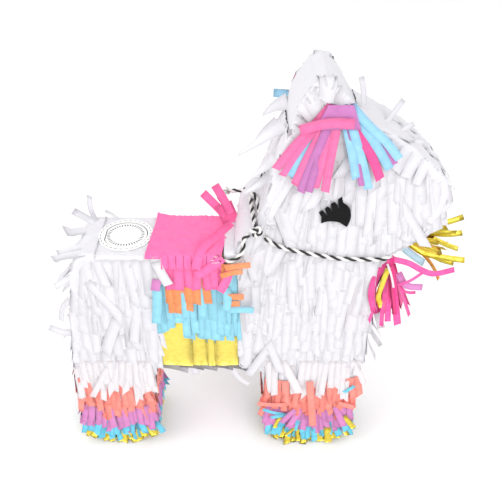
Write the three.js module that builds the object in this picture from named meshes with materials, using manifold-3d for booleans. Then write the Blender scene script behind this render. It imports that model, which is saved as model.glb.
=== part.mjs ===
// Mini llama pinata: two card profile panels joined by edge bands, covered with rows of
// tissue fringe, with a fill flap in its back and tassels on a twine collar.
// Millimetres, +X to the nose, +Z up, the right flank at -Y, soles on Z = 0.
import * as THREE from "three";
import { mergeVertices } from "three/addons/utils/BufferGeometryUtils.js";
import Module from "manifold-3d";

const wasm = await Module();
wasm.setup();

// ---- driving dimensions ----------------------------------------------------------------

const CARD = 1.6; // thickness of the card
const GAP = 0.3; // clearance between pieces that touch
const BODY_DEPTH = 26; // over the outer faces of the two card panels
const TISSUE = 0.7; // thickness of a layer of fringe lying flat
const CURVE_STEPS = 6; // straight steps in each curved run of the outline

const BACK_Z = 115; // card surface of the back
const BELLY_Z = 53; // underside of the belly
const FRONT_SOLE = { rear: 25, front: 37, radius: 14 }; // flat of the front sole, and its round corners
const REAR_SOLE = { rear: -67, front: -59, radius: 13 };

const SADDLE = { rear: -38.5, front: -3.2 }; // ends of the saddle cloth along X
const SADDLE_ROWS = [ // lower edge of each saddle row, from the top down
  ["pink", 99, 0xff6fb8],
  ["orange", 91, 0xffa268],
  ["blue", 67, 0x86d6fb],
  ["gold", BELLY_Z, 0xdcc63c],
];
const SADDLE_SHEET_Z = 109; // lower edge of the plain sheet over the back
const ANKLE_Z = 33; // lower edge of the white fringe on the legs
const FOOT_ROWS = [ // lower edge of each foot row, from the top down
  ["coral", 19, 0xff8c80],
  ["lilac", 10, 0xdf86d0],
  ["turquoise", 4, 0x6ccfe0],
  ["gold", 0.4, 0xd8c23a],
];

const FILL = { x: -50.5, holeRadius: 9.4, flapRadius: 8.95, chord: 8.6, ringRadius: 11.5, sticker: 0.4 };

const TWINE = 2; // diameter of the twine
const TWINE_SIDES = 8;

const EYE = { x: 35.2, z: 136, thickness: 0.5 };
const FORELOCK_THICKNESS = 1.2;

const PINK_TASSEL = { pivot: [59, -12, 115.5], lean: 7, length: 33, radius: 6.4 };
const GOLD_TASSEL = { pivot: [58.5, 5, 113.5], lean: 87, length: 34, radius: 7 };
const TASSEL_BINDING = { radius: 2.6, length: 5 };
const TASSEL_SIDES = 12;

const FAR = 400; // reach of a cutting box past the object

// ---- materials -------------------------------------------------------------------------

const paint = (color, roughness = 0.9, metalness = 0) =>
  new THREE.MeshStandardMaterial({ color, roughness, metalness });

const card = paint(0xd9cdb8);
const whiteTissue = paint(0xf4f3f8);
const pinkTissue = paint(0xff5fae);
const goldFoil = paint(0xd8c23a, 0.35, 0.8);
const blackGloss = paint(0x1e1c1d, 0.3);
const stickerPaper = paint(0xf7f7f5, 0.6);
const twineCotton = paint(0xb9b6b0, 0.95);

// ---- solids ----------------------------------------------------------------------------

function toSolid(geometry) {
  const bare = geometry.clone();
  bare.deleteAttribute("normal");
  bare.deleteAttribute("uv");
  const merged = mergeVertices(bare, 1e-4);
  return new wasm.Manifold(new wasm.Mesh({
    numProp: 3,
    vertProperties: new Float32Array(merged.attributes.position.array),
    triVerts: new Uint32Array(merged.index.array),
  }));
}

function toGeometry(solid) {
  const mesh = solid.getMesh();
  const geometry = new THREE.BufferGeometry();
  geometry.setAttribute("position", new THREE.BufferAttribute(mesh.vertProperties, 3));
  geometry.setIndex(new THREE.BufferAttribute(mesh.triVerts, 1));
  geometry.computeVertexNormals();
  return geometry;
}

// A flat outline in X and Z, made solid between two values of Y.
function slab(points, yLow, yHigh) {
  const geometry = new THREE.ExtrudeGeometry(new THREE.Shape(points), {
    depth: yHigh - yLow, bevelEnabled: false, curveSegments: CURVE_STEPS,
  });
  geometry.rotateX(Math.PI / 2);
  geometry.translate(0, yHigh, 0);
  return geometry;
}

function box([x0, y0, z0], [x1, y1, z1]) {
  const geometry = new THREE.BoxGeometry(x1 - x0, y1 - y0, z1 - z0);
  geometry.translate((x0 + x1) / 2, (y0 + y1) / 2, (z0 + z1) / 2);
  return toSolid(geometry);
}

function disc(radius, zLow, zHigh, x) {
  const geometry = new THREE.CylinderGeometry(radius, radius, zHigh - zLow, 36);
  geometry.rotateX(Math.PI / 2);
  geometry.translate(x, 0, (zLow + zHigh) / 2);
  return toSolid(geometry);
}

// ---- the profile -----------------------------------------------------------------------
// The outline runs clockwise from the rump end of the back, in named runs. Each run is one
// edge band of the real object.

const V = (x, z) => new THREE.Vector2(x, z);

const line = (...points) => points.map(([x, z]) => V(x, z));

const bezier = (a, b, c, d) =>
  new THREE.CubicBezierCurve(V(...a), V(...b), V(...c), V(...d)).getPoints(CURVE_STEPS);

const bend = (a, b, c) =>
  new THREE.QuadraticBezierCurve(V(...a), V(...b), V(...c)).getPoints(4);

// The round corner, flat and round corner of a foot, from its front edge to its rear edge.
function soleRun({ rear, front, radius }) {
  const corner = (x, from) => new THREE.EllipseCurve(
    x, radius, radius, radius, from, from - Math.PI / 2, true).getPoints(CURVE_STEPS);
  return [...corner(front, 0), ...corner(rear, -Math.PI / 2)];
}

const frontFoot = FRONT_SOLE.front + FRONT_SOLE.radius;
const frontInner = FRONT_SOLE.rear - FRONT_SOLE.radius;
const rearInner = REAR_SOLE.front + REAR_SOLE.radius;
const rearFoot = REAR_SOLE.rear - REAR_SOLE.radius;

const RUNS = [
  ["back_band", line([-64, BACK_Z], [-3, BACK_Z])],
  ["shoulder_band", bezier([-3, BACK_Z], [-2.5, 121], [0, 126.5], [9, 127.5])],
  ["nape_band", bezier([9, 127.5], [9.5, 140], [11, 157], [17.5, 168])],
  ["ear_band", [
    ...bezier([17.5, 168], [17.5, 178], [23, 187], [28.5, 189.7]),
    ...bezier([28.5, 189.7], [34, 187], [37, 179], [41, 173.5]),
  ]],
  ["forehead_band", bezier([41, 173.5], [52, 170], [66, 160], [74.5, 150.5])],
  ["nose_band", bezier([74.5, 150.5], [77.5, 146.5], [76.5, 137.5], [72, 131])],
  ["chin_band", bend([72, 131], [66, 123], [56.5, 117])],
  ["chest_band", [
    ...bend([56.5, 117], [53.4, 114], [53, 106]),
    ...line([53, 72]),
    ...bend([53, 72], [51.4, 52], [51, 34]),
    ...line([frontFoot, FRONT_SOLE.radius]),
  ]],
  ["front_sole", soleRun(FRONT_SOLE)],
  ["front_leg_inner_band", line([frontInner, FRONT_SOLE.radius], [8.5, BELLY_Z - 5])],
  ["belly_band", [
    ...bend([8.5, BELLY_Z - 5], [8.2, BELLY_Z], [3.5, BELLY_Z]),
    ...bend([-38.6, BELLY_Z], [-43, BELLY_Z], [-43.3, BELLY_Z - 5]),
  ]],
  ["rear_leg_inner_band", line([-43.3, BELLY_Z - 5], [rearInner, REAR_SOLE.radius])],
  ["rear_sole", soleRun(REAR_SOLE)],
  ["rump_band", [
    ...bezier([rearFoot, REAR_SOLE.radius], [-79.5, 50], [-77, 70], [-71.5, 104]),
    ...bend([-71.5, 104], [-70, BACK_Z], [-64, BACK_Z]),
  ]],
];

// The closed outline with no repeated points, and where each run starts and ends in it.
function joinRuns(runs) {
  const outline = [];
  const spans = {};
  for (const [name, points] of runs) {
    let start = -1;
    for (const point of points) {
      const last = outline[outline.length - 1];
      if (!last || last.distanceTo(point) > 1e-6) outline.push(point);
      if (start < 0) start = outline.length - 1;
    }
    spans[name] = [start, outline.length - 1];
  }
  outline.pop();
  return { outline, spans };
}

const { outline, spans } = joinRuns(RUNS);

// The outline moved outwards by a distance, with mitred corners.
function offsetOutline(distance) {
  return outline.map((point, i) => {
    const before = outline[(i + outline.length - 1) % outline.length];
    const after = outline[(i + 1) % outline.length];
    const into = point.clone().sub(before).normalize();
    const out = after.clone().sub(point).normalize();
    const n1 = V(-into.y, into.x);
    const n2 = V(-out.y, out.x);
    const mitre = n1.clone().add(n2).divideScalar(1 + n1.dot(n2));
    return point.clone().addScaledVector(mitre, distance);
  });
}

const halfBody = BODY_DEPTH / 2;
const bandHalf = halfBody - CARD - GAP;
const skinInner = halfBody + GAP;
const skinOuter = skinInner + TISSUE;

function panel(side) {
  const faces = [side * halfBody, side * (halfBody - CARD)];
  return slab(outline, Math.min(...faces), Math.max(...faces));
}

// One edge band: the card strip that follows a run of the outline between the panels.
function band(name) {
  const inner = offsetOutline(-CARD);
  const [start, end] = spans[name];
  const at = (list, i) => list[i % outline.length].clone();
  const outside = [];
  const inside = [];
  for (let i = start; i <= end; i += 1) {
    outside.push(at(outline, i));
    inside.push(at(inner, i));
  }
  const last = outside.length - 1;
  const startWay = outside[1].clone().sub(outside[0]).setLength(GAP / 2);
  const endWay = outside[last - 1].clone().sub(outside[last]).setLength(GAP / 2);
  outside[0].add(startWay);
  inside[0].add(startWay);
  outside[last].add(endWay);
  inside[last].add(endWay);
  return slab([...outside, ...inside.reverse()], -bandHalf, bandHalf);
}

// ---- fringe skins ----------------------------------------------------------------------
// The covering is one thin shell round the card body, cut into the regions of each colour.

const hull = toSolid(slab(offsetOutline(GAP + TISSUE), -skinOuter, skinOuter));
const core = toSolid(slab(offsetOutline(GAP), -skinInner, skinInner));
const shell = hull.subtract(core);

function region({ x = [-FAR, FAR], y = [-FAR, FAR], z = [0.4, FAR] }) {
  const g = GAP / 2;
  return box([x[0] + g, y[0] + g, z[0] + g], [x[1] - g, y[1] - g, z[1] - g]);
}

const RIGHT_FACE = [-FAR, -halfBody];
const LEFT_FACE = [halfBody, FAR];
const EDGE = [-halfBody, halfBody];

const skin = (where) => shell.intersect(region(where));

// The part of a skin that holds a given point of the body, where a region meets the shell twice.
function skinNear(where, x, z) {
  const pieces = skin(where).decompose();
  const reach = (piece) => {
    const { min, max } = piece.boundingBox();
    const dx = Math.max(min[0] - x, 0, x - max[0]);
    const dz = Math.max(min[2] - z, 0, z - max[2]);
    return Math.hypot(dx, dz);
  };
  return pieces.sort((a, b) => reach(a) - reach(b))[0];
}

// ---- small pieces ----------------------------------------------------------------------

// The opening that is cut for filling: a round hole with one straight side, where it folds.
function fillPlug(radius, zLow, zHigh) {
  const cut = box([FILL.x - FILL.chord + FILL.holeRadius - radius, -FAR, 0], [FAR, FAR, FAR]);
  return disc(radius, zLow, zHigh, FILL.x).intersect(cut);
}

const skinTop = BACK_Z + GAP + TISSUE;

const fillFlapCard = () => fillPlug(FILL.flapRadius, BACK_Z - CARD, BACK_Z);

const fillStickerCentre = () => fillPlug(FILL.flapRadius, BACK_Z + GAP, skinTop + FILL.sticker);

const fillStickerRing = () =>
  disc(FILL.ringRadius, skinTop + GAP, skinTop + GAP + FILL.sticker, FILL.x)
    .subtract(fillPlug(FILL.holeRadius, BACK_Z, skinTop + FAR / 40));

// A closed eyelid with four lashes that point up and back.
function eye(side) {
  const near = side * (skinOuter + GAP);
  const far = near + side * EYE.thickness;
  const [low, high] = [Math.min(near, far), Math.max(near, far)];
  const lid = new THREE.Shape();
  lid.moveTo(EYE.x - 6, EYE.z - 4.6);
  lid.quadraticCurveTo(EYE.x - 1, EYE.z - 2.2, EYE.x + 4.4, EYE.z - 6.1);
  lid.bezierCurveTo(EYE.x + 7.6, EYE.z - 2.5, EYE.x + 6.2, EYE.z + 2, EYE.x + 3, EYE.z + 5);
  lid.quadraticCurveTo(EYE.x - 3.5, EYE.z + 1.2, EYE.x - 6, EYE.z - 4.6);
  let solid = toSolid(slab(lid.getPoints(CURVE_STEPS), low, high));
  const lashes = [[-4.2, -1, 45], [-2.3, 1.2, 35], [0.2, 3, 22], [2.3, 4.6, 6]];
  for (const [x, z, lean] of lashes) {
    const lash = new THREE.Shape(line([-1.5, -1.5], [1.5, -1.5], [0.9, 2.8], [-0.9, 2.8]));
    const points = lash.getPoints().map((p) => {
      p.rotateAround(V(0, 0), THREE.MathUtils.degToRad(lean));
      return p.add(V(EYE.x + x, EYE.z + z));
    });
    solid = solid.add(toSolid(slab(points, low, high)));
  }
  return solid;
}

// A tissue bundle glued by its straight top below the ear, fanned in two lobes over the face.
function forelock(side) {
  const near = side * (skinOuter + GAP);
  const far = near + side * FORELOCK_THICKNESS;
  const fan = line([29, 181.4], [38, 181.4], [42, 172], [57, 163], [50, 150], [44, 145.5],
    [34, 163], [29, 146.5], [20.5, 146], [10.5, 156], [27, 172]);
  return slab(fan, Math.min(near, far), Math.max(near, far));
}

// ---- twine -----------------------------------------------------------------------------

function tube(points, diameter, steps) {
  const curve = new THREE.CatmullRomCurve3(points.map((p) => new THREE.Vector3(...p)), false,
    "centripetal");
  const section = new THREE.Shape();
  for (let i = 0; i < TWINE_SIDES; i += 1) {
    const angle = (i * 2 * Math.PI) / TWINE_SIDES;
    const move = i ? "lineTo" : "moveTo";
    section[move](Math.cos(angle) * diameter / 2, Math.sin(angle) * diameter / 2);
  }
  return new THREE.ExtrudeGeometry(section, { steps, bevelEnabled: false, extrudePath: curve });
}

const twineY = skinOuter + GAP + TWINE / 2;

// From the knot along the right of the neck, under the throat, back along the left and over the nape.
const COLLAR_ROUTE = [
  [7.6, -twineY, 125.6], [12.8, -twineY, 121.8], [20.9, -twineY, 118.9], [30, -twineY, 116.9],
  [38, -twineY, 115.3], [47, -twineY, 114.9], [53.8, -twineY - 0.4, 115.2], [57.4, -15.2, 115.4],
  [59, -12, 115.5], [58.9, -5, 114.8], [58.5, 5, 113.5], [58.4, 10, 113.7], [56.8, 14.8, 114.4],
  [53.6, twineY + 0.3, 114.8], [47, twineY, 114.9], [38, twineY, 115.3], [30, twineY, 116.9],
  [20.9, twineY, 118.9], [12.8, twineY, 121.8], [6, twineY + 0.2, 125.8], [3.7, twineY + 0.3, 127.6],
  [2.6, 14.3, 128.8], [2.3, 12, 129], [3, 0, 128.8], [4.2, -12.8, 128.9],
];

// The short end that lies down the shoulder and over the edge of the saddle.
const FRONT_TAIL_ROUTE = [
  [1.6, -twineY - 0.5, 127.4], [-0.4, -twineY - 0.3, 125.2], [-0.8, -twineY - 0.3, 119.8],
  [-3.2, -twineY - 0.3, 115.8], [-7, -twineY - 0.3, 114], [-10.4, -twineY - 0.3, 114.3],
];

// The other end, laid over the nape beside the collar, which sticks out behind it.
const REAR_TAIL_ROUTE = [
  [7, -12, 129.2], [6.4, -6, 129], [5.8, 0, 129], [5, 6, 129.8], [3, 9.6, 131.5],
  [0.4, 12.6, 131.2], [-3, 15.4, 129], [-6.8, halfBody + 4.4, 127.8],
];

function knot() {
  const geometry = new THREE.IcosahedronGeometry(2.2, 2);
  geometry.scale(1.1, 0.8, 0.95);
  geometry.translate(4.5, -16.2, 128.9);
  return geometry;
}

// ---- tassels ---------------------------------------------------------------------------
// A tassel hangs along its own -Z from a pivot on the twine. Lean turns it towards the nose.

function tassel(name, { pivot, lean, length, radius }, material) {
  const { radius: neck, length: grip } = TASSEL_BINDING;
  const holder = new THREE.Group();
  holder.position.set(...pivot);
  holder.rotation.y = THREE.MathUtils.degToRad(-lean);
  const top = TWINE / 2 + 2 * GAP;
  const binding = new THREE.Mesh(
    new THREE.CylinderGeometry(neck * 0.8, neck, grip, TASSEL_SIDES), twineCotton);
  binding.name = `${name}_binding`;
  binding.rotation.x = Math.PI / 2;
  binding.position.z = -top - grip / 2;
  const skirtLength = length - top - grip - GAP;
  const skirt = new THREE.Mesh(
    new THREE.CylinderGeometry(neck, radius, skirtLength, TASSEL_SIDES), material);
  skirt.name = `${name}_skirt`;
  skirt.rotation.x = Math.PI / 2;
  skirt.position.z = -length + skirtLength / 2;
  holder.add(binding, skirt);
  return holder;
}

// ---- assembly --------------------------------------------------------------------------

const group = new THREE.Group();

function add(name, shape, material) {
  const geometry = shape.isBufferGeometry ? shape : toGeometry(shape);
  const mesh = new THREE.Mesh(geometry, material);
  mesh.name = name;
  group.add(mesh);
}

const SIDES = [["right", -1, RIGHT_FACE], ["left", 1, LEFT_FACE]];

for (const [sideName, side] of SIDES) add(`side_panel_${sideName}`, panel(side), card);

const fillHole = fillPlug(FILL.holeRadius, 0, FAR);

for (const [name] of RUNS) {
  const strip = band(name);
  add(name, name === "back_band" ? toSolid(strip).subtract(fillHole) : strip, card);
}

add("fill_flap_card", fillFlapCard(), card);
add("fill_sticker_center", fillStickerCentre(), stickerPaper);
add("fill_sticker_ring", fillStickerRing(), stickerPaper);

// White fringe on the flat sides, then along the edges.
const overAnkle = [ANKLE_Z, FAR];
for (const [sideName, , y] of SIDES) {
  add(`white_rump_fringe_${sideName}`,
    skin({ x: [-FAR, SADDLE.rear], y, z: overAnkle }), whiteTissue);
  add(`white_front_fringe_${sideName}`,
    skin({ x: [SADDLE.front, FAR], y, z: overAnkle }), whiteTissue);
}
add("white_rump_edge_fringe",
  skinNear({ x: [-FAR, SADDLE.rear], y: EDGE, z: overAnkle }, rearFoot, BACK_Z).subtract(fillHole),
  whiteTissue);
add("white_belly_fringe",
  skinNear({ x: [rearInner - 2, frontInner + 2], y: EDGE, z: [ANKLE_Z, BELLY_Z + 3] }, 0, BELLY_Z),
  whiteTissue);
add("white_nape_fringe",
  skinNear({ x: [SADDLE.front, 30], y: EDGE, z: [BACK_Z - 2, 168] }, 5, 140), whiteTissue);
add("white_ear_fringe",
  skinNear({ x: [10, 41], y: EDGE, z: [168, FAR] }, 28, 190), whiteTissue);
add("white_face_edge_fringe",
  skinNear({ x: [41, FAR], y: EDGE, z: [117, FAR] }, 76, 145), whiteTissue);
add("white_chest_fringe",
  skinNear({ x: [30, FAR], y: EDGE, z: [ANKLE_Z, 117] }, 54, 80), whiteTissue);

// Saddle: the sheet over the back, then the rows on each flank.
const saddleX = [SADDLE.rear, SADDLE.front];
add("saddle_sheet", skin({ x: saddleX, z: [SADDLE_SHEET_Z, FAR] }), pinkTissue);
let rowTop = SADDLE_SHEET_Z;
for (const [colour, rowBottom, tint] of SADDLE_ROWS) {
  const material = colour === "gold" ? goldFoil : paint(tint);
  for (const [sideName, , y] of SIDES) {
    add(`saddle_${colour}_row_${sideName}`, skin({ x: saddleX, y, z: [rowBottom, rowTop] }), material);
  }
  rowTop = rowBottom;
}

// Feet: rows of fringe right round each foot.
const FEET = [["rear", [-FAR, -20]], ["front", [-20, FAR]]];
for (const [footName, x] of FEET) {
  let top = ANKLE_Z;
  for (const [colour, bottom, tint] of FOOT_ROWS) {
    const material = colour === "gold" ? goldFoil : paint(tint);
    add(`${footName}_foot_${colour}_row`, skin({ x, z: [bottom, top] }), material);
    top = bottom;
  }
}

for (const [sideName, side] of SIDES) {
  add(`eye_${sideName}`, eye(side), blackGloss);
  add(`forelock_${sideName}`, forelock(side), pinkTissue);
}

add("twine_collar", tube(COLLAR_ROUTE, TWINE, 76), twineCotton);
add("twine_front_tail", tube(FRONT_TAIL_ROUTE, TWINE, 12), twineCotton);
add("twine_rear_tail", tube(REAR_TAIL_ROUTE, TWINE, 12), twineCotton);
add("twine_knot", knot(), twineCotton);

group.add(tassel("pink_tassel", PINK_TASSEL, pinkTissue));
group.add(tassel("gold_tassel", GOLD_TASSEL, goldFoil));

// The origin is under the middle of the whole object.
const extent = new THREE.Box3().setFromObject(group);
group.position.x = -(extent.min.x + extent.max.x) / 2;

export default group;
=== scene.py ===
"""Looks of the mini llama pinata: tissue fringe, foil, twine, tassels and a fill sticker round the CAD frame.

Shapes are worked out in the design frame of the CAD source, in millimetres: +X to the nose, +Z up,
the right flank at -Y. to_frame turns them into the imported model's frame, in metres.
"""

import math
import random

import bmesh
import bpy
import numpy as np
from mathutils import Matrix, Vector


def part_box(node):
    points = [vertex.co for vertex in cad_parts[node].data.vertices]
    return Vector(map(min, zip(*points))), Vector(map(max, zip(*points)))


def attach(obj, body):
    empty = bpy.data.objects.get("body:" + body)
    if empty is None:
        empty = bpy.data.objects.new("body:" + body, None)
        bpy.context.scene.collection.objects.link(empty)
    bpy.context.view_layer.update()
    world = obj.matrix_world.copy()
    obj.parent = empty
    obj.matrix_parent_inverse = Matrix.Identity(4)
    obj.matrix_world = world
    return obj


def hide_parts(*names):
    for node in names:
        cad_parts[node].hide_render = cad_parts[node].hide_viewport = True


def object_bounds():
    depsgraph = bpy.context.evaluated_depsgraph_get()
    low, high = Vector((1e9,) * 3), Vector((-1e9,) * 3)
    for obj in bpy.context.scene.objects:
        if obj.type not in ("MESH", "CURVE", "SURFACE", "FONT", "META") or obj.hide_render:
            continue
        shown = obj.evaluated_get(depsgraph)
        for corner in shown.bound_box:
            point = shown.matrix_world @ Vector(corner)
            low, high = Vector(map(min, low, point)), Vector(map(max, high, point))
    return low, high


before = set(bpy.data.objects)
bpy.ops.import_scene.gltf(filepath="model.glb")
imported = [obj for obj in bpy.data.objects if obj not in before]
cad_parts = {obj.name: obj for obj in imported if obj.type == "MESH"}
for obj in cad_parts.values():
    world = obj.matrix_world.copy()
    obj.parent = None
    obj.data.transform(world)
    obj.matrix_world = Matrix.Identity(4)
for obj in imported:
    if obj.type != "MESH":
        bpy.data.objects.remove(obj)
cad_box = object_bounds()

# ---- driving dimensions, in millimetres -----------------------------------------------------

MM = 0.001
PANEL_REAR = -80.0  # design X of the rear end of the side panels
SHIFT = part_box("side_panel_right")[0].x - PANEL_REAR * MM
SKIN_Y = 14.0  # outer face of the tissue on the flat sides
SKIN_EDGE = 1.0  # outer face of the tissue outside the card outline
BACK_Z = 115.0
ANKLE_Z = 33.0
SADDLE_REAR, SADDLE_FRONT = -38.5, -3.2
TISSUE = 0.05  # thickness that a strip of tissue is given
FLOOR_GAP = 0.35  # lowest that any tissue reaches

TWINE = 2.0
TWINE_GAP = 0.3  # between the skin and the twine
PLY_RADII = (0.5, 0.6)  # of the black and the white ply
PLY_OFFSET = 0.46  # of each ply's middle from the twine's
TWIST_PITCH = 6.2  # length of one full turn of the plies
ROUTE_STEP = 0.35  # spacing of the points along a twine

EYE_CENTRE = np.array([35.2, 136.0])
EYE_LIFT = 0.8  # back of the eye above the skin
EYE_REACH = 7.5  # how far from its centre the eye holds the tissue down
LOCK_CENTRE = np.array([33.5, 170.0])  # of the tissue that a forelock holds down
LOCK_REACH = 13.0
UNDER_TWINE, UNDER_LOCK = 0.26, 1.3  # room for tissue under the twine and under a forelock

# ---- the frame's profile --------------------------------------------------------------------


def to_frame(points):
    """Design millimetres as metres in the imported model's frame."""
    return np.asarray(points, float) * MM + np.array([SHIFT, 0.0, 0.0])


def from_frame(points):
    """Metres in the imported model's frame as design millimetres."""
    return (np.asarray(points, float) - np.array([SHIFT, 0.0, 0.0])) / MM


def run_lengths(path):
    """How far along the path each of its points is."""
    return np.concatenate([[0], np.cumsum(np.linalg.norm(np.diff(path, axis=0), axis=1))])


def panel_outline():
    """The body's profile, read off the right panel's flat face, as an ordered loop of (X, Z)."""
    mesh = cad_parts["side_panel_right"].data
    points = from_frame([v.co for v in mesh.vertices])
    keys = [(round(float(x), 2), round(float(z), 2)) for x, _, z in points]
    edges = set()
    for face in mesh.polygons:
        if face.normal.y < -0.9:
            ring = [keys[i] for i in face.vertices]
            edges.update(zip(ring, ring[1:] + ring[:1]))
    onward = {a: b for a, b in edges if (b, a) not in edges and a != b}
    start = min(onward)
    loop = [start]
    while onward[loop[-1]] != start:
        loop.append(onward[loop[-1]])
    return np.array(loop)


class Profile:
    """The outline in steps of a fixed length, with the outward normal at each step."""

    STEP = 0.5
    NEIGHBOUR = 3  # steps either way that a direction is taken over

    def __init__(self, loop):
        for _ in range(2):  # round the facets off
            ahead = np.roll(loop, -1, axis=0)
            loop = np.stack([loop * 0.75 + ahead * 0.25, loop * 0.25 + ahead * 0.75], 1).reshape(-1, 2)
        closed = np.vstack([loop, loop[:1]])
        run = run_lengths(closed)
        self.count = int(run[-1] / self.STEP)
        places = np.linspace(0, run[-1], self.count, endpoint=False)
        self.points = np.stack([np.interp(places, run, closed[:, k]) for k in (0, 1)], 1)
        ways = np.roll(self.points, -self.NEIGHBOUR, axis=0) - np.roll(self.points, self.NEIGHBOUR, axis=0)
        self.ways = ways / np.linalg.norm(ways, axis=1)[:, None]
        x, z = self.points.T
        area = np.sum(x * np.roll(z, -1) - np.roll(x, -1) * z)
        outward = 1 if area > 0 else -1
        self.normals = outward * np.stack([self.ways[:, 1], -self.ways[:, 0]], 1)

    def nearest(self, x, z):
        """The index of the step nearest to a point."""
        return int(np.argmin(np.hypot(self.points[:, 0] - x, self.points[:, 1] - z)))

    def project(self, xz):
        """For each point: the index of the nearest step, and how far outside the outline it is."""
        gaps = xz[:, None, :] - self.points[None, :, :]
        index = np.argmin((gaps ** 2).sum(2), axis=1)
        away = xz - self.points[index]
        return index, (away * self.normals[index]).sum(1)

    def chords(self, x):
        """The stretches of Z that lie inside the outline at this X."""
        ahead = np.roll(self.points, -1, axis=0)
        crosses = (self.points[:, 0] - x) * (ahead[:, 0] - x) < 0
        a, b = self.points[crosses], ahead[crosses]
        heights = a[:, 1] + (b[:, 1] - a[:, 1]) * (x - a[:, 0]) / (b[:, 0] - a[:, 0])
        heights = sorted(float(h) for h in heights)
        return list(zip(heights[0::2], heights[1::2]))

    def run(self, start, end, spacing):
        """Steps a spacing apart along the outline from one corner to the other, the shorter way."""
        first, last = self.nearest(*start), self.nearest(*end)
        ahead = (last - first) % self.count
        heading = 1 if ahead <= self.count / 2 else -1
        length = ahead if heading > 0 else self.count - ahead
        rows = max(1, int(length * self.STEP / spacing))
        steps = [(first + heading * int(k * spacing / self.STEP)) % self.count for k in range(rows)]
        return steps, heading


profile = Profile(panel_outline())

# ---- twine routes, as in the CAD source ------------------------------------------------------

TWINE_Y = SKIN_Y + TWINE_GAP + TWINE / 2

COLLAR_ROUTE = [
    (7.6, -TWINE_Y, 125.6), (12.8, -TWINE_Y, 121.8), (20.9, -TWINE_Y, 118.9), (30, -TWINE_Y, 116.9),
    (38, -TWINE_Y, 115.3), (47, -TWINE_Y, 114.9), (53.8, -TWINE_Y - 0.4, 115.2), (57.4, -15.2, 115.4),
    (59, -12, 115.5), (58.9, -5, 114.8), (58.5, 5, 113.5), (58.4, 10, 113.7), (56.8, 14.8, 114.4),
    (53.6, TWINE_Y + 0.3, 114.8), (47, TWINE_Y, 114.9), (38, TWINE_Y, 115.3), (30, TWINE_Y, 116.9),
    (20.9, TWINE_Y, 118.9), (12.8, TWINE_Y, 121.8), (6, TWINE_Y + 0.2, 125.8), (3.7, TWINE_Y + 0.3, 127.6),
    (2.6, 14.3, 128.8), (2.3, 12, 129), (3, 0, 128.8), (4.2, -12.8, 128.9),
]
FRONT_TAIL_ROUTE = [
    (1.6, -TWINE_Y - 0.5, 127.4), (-0.4, -TWINE_Y - 0.3, 125.2), (-0.8, -TWINE_Y - 0.3, 119.8),
    (-3.2, -TWINE_Y - 0.3, 115.8), (-7, -TWINE_Y - 0.3, 114), (-10.4, -TWINE_Y - 0.3, 114.3),
]
REAR_TAIL_ROUTE = [
    (7, -12, 129.2), (6.4, -6, 129), (5.8, 0, 129), (5, 6, 129.8), (3, 9.6, 131.5),
    (0.4, 12.6, 131.2), (-3, 15.4, 129), (-6.8, 17.4, 127.8),
]
KNOT_CENTRE = (4.5, -16.2, 128.9)
KNOT_SIZE = (0.62, 0.62, 0.55)


def smooth_route(points, step):
    """A centripetal Catmull-Rom curve through the points, in even steps."""
    p = np.array(points, float)
    p = np.vstack([2 * p[0] - p[1], p, 2 * p[-1] - p[-2]])
    fine = []
    for a, b, c, d in zip(p, p[1:], p[2:], p[3:]):
        t0 = 0.0
        t1 = t0 + np.linalg.norm(b - a) ** 0.5
        t2 = t1 + np.linalg.norm(c - b) ** 0.5
        t3 = t2 + np.linalg.norm(d - c) ** 0.5
        for t in np.linspace(t1, t2, 24, endpoint=False):
            ab = (t1 - t) / (t1 - t0) * a + (t - t0) / (t1 - t0) * b
            bc = (t2 - t) / (t2 - t1) * b + (t - t1) / (t2 - t1) * c
            cd = (t3 - t) / (t3 - t2) * c + (t - t2) / (t3 - t2) * d
            abc = (t2 - t) / (t2 - t0) * ab + (t - t0) / (t2 - t0) * bc
            bcd = (t3 - t) / (t3 - t1) * bc + (t - t1) / (t3 - t1) * cd
            fine.append((t2 - t) / (t2 - t1) * abc + (t - t1) / (t2 - t1) * bcd)
    fine.append(p[-2])
    fine = np.array(fine)
    run = run_lengths(fine)
    places = np.linspace(0, run[-1], max(2, int(run[-1] / step) + 1))
    return np.stack([np.interp(places, run, fine[:, k]) for k in range(3)], 1)


collar = smooth_route(COLLAR_ROUTE, ROUTE_STEP)
front_tail = smooth_route(FRONT_TAIL_ROUTE, ROUTE_STEP)
rear_tail = smooth_route(REAR_TAIL_ROUTE, ROUTE_STEP)
all_twine = np.vstack([collar, front_tail, rear_tail])[::3]


def unit(v):
    """A vector of length 1 the same way."""
    v = np.asarray(v, float)
    return v / np.linalg.norm(v)


def pressed(base, offset):
    """Offsets from the skin, held down where twine, an eye or a forelock lies on the tissue."""
    gaps = np.sqrt(((base[:, None, :] - all_twine[None, :, :]) ** 2).sum(2).min(1))
    across = np.sqrt(np.maximum(gaps ** 2 - (TWINE_GAP + TWINE / 2) ** 2, 0))
    room = UNDER_TWINE + 0.9 * np.maximum(across - 1.2, 0)
    on_side = np.abs(base[:, 1]) > SKIN_Y - 0.5
    xz = base[:, [0, 2]]
    eye_gap = np.maximum(np.linalg.norm((xz - EYE_CENTRE) / [1.0, 0.9], axis=1) - EYE_REACH, 0)
    lock_gap = np.maximum(np.linalg.norm((xz - LOCK_CENTRE) / [0.8, 1.0], axis=1) - LOCK_REACH, 0)
    side_room = np.minimum(EYE_LIFT - 0.3 + 0.5 * eye_gap, UNDER_LOCK + 0.5 * lock_gap)
    room = np.where(on_side, np.minimum(room, side_room), room)
    return offset * room / (offset + room + 1e-9)


# ---- strips of tissue and foil --------------------------------------------------------------


GRAIN_SPREAD = 500.0  # range of the number that gives each strip its own part of the grain texture


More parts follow.
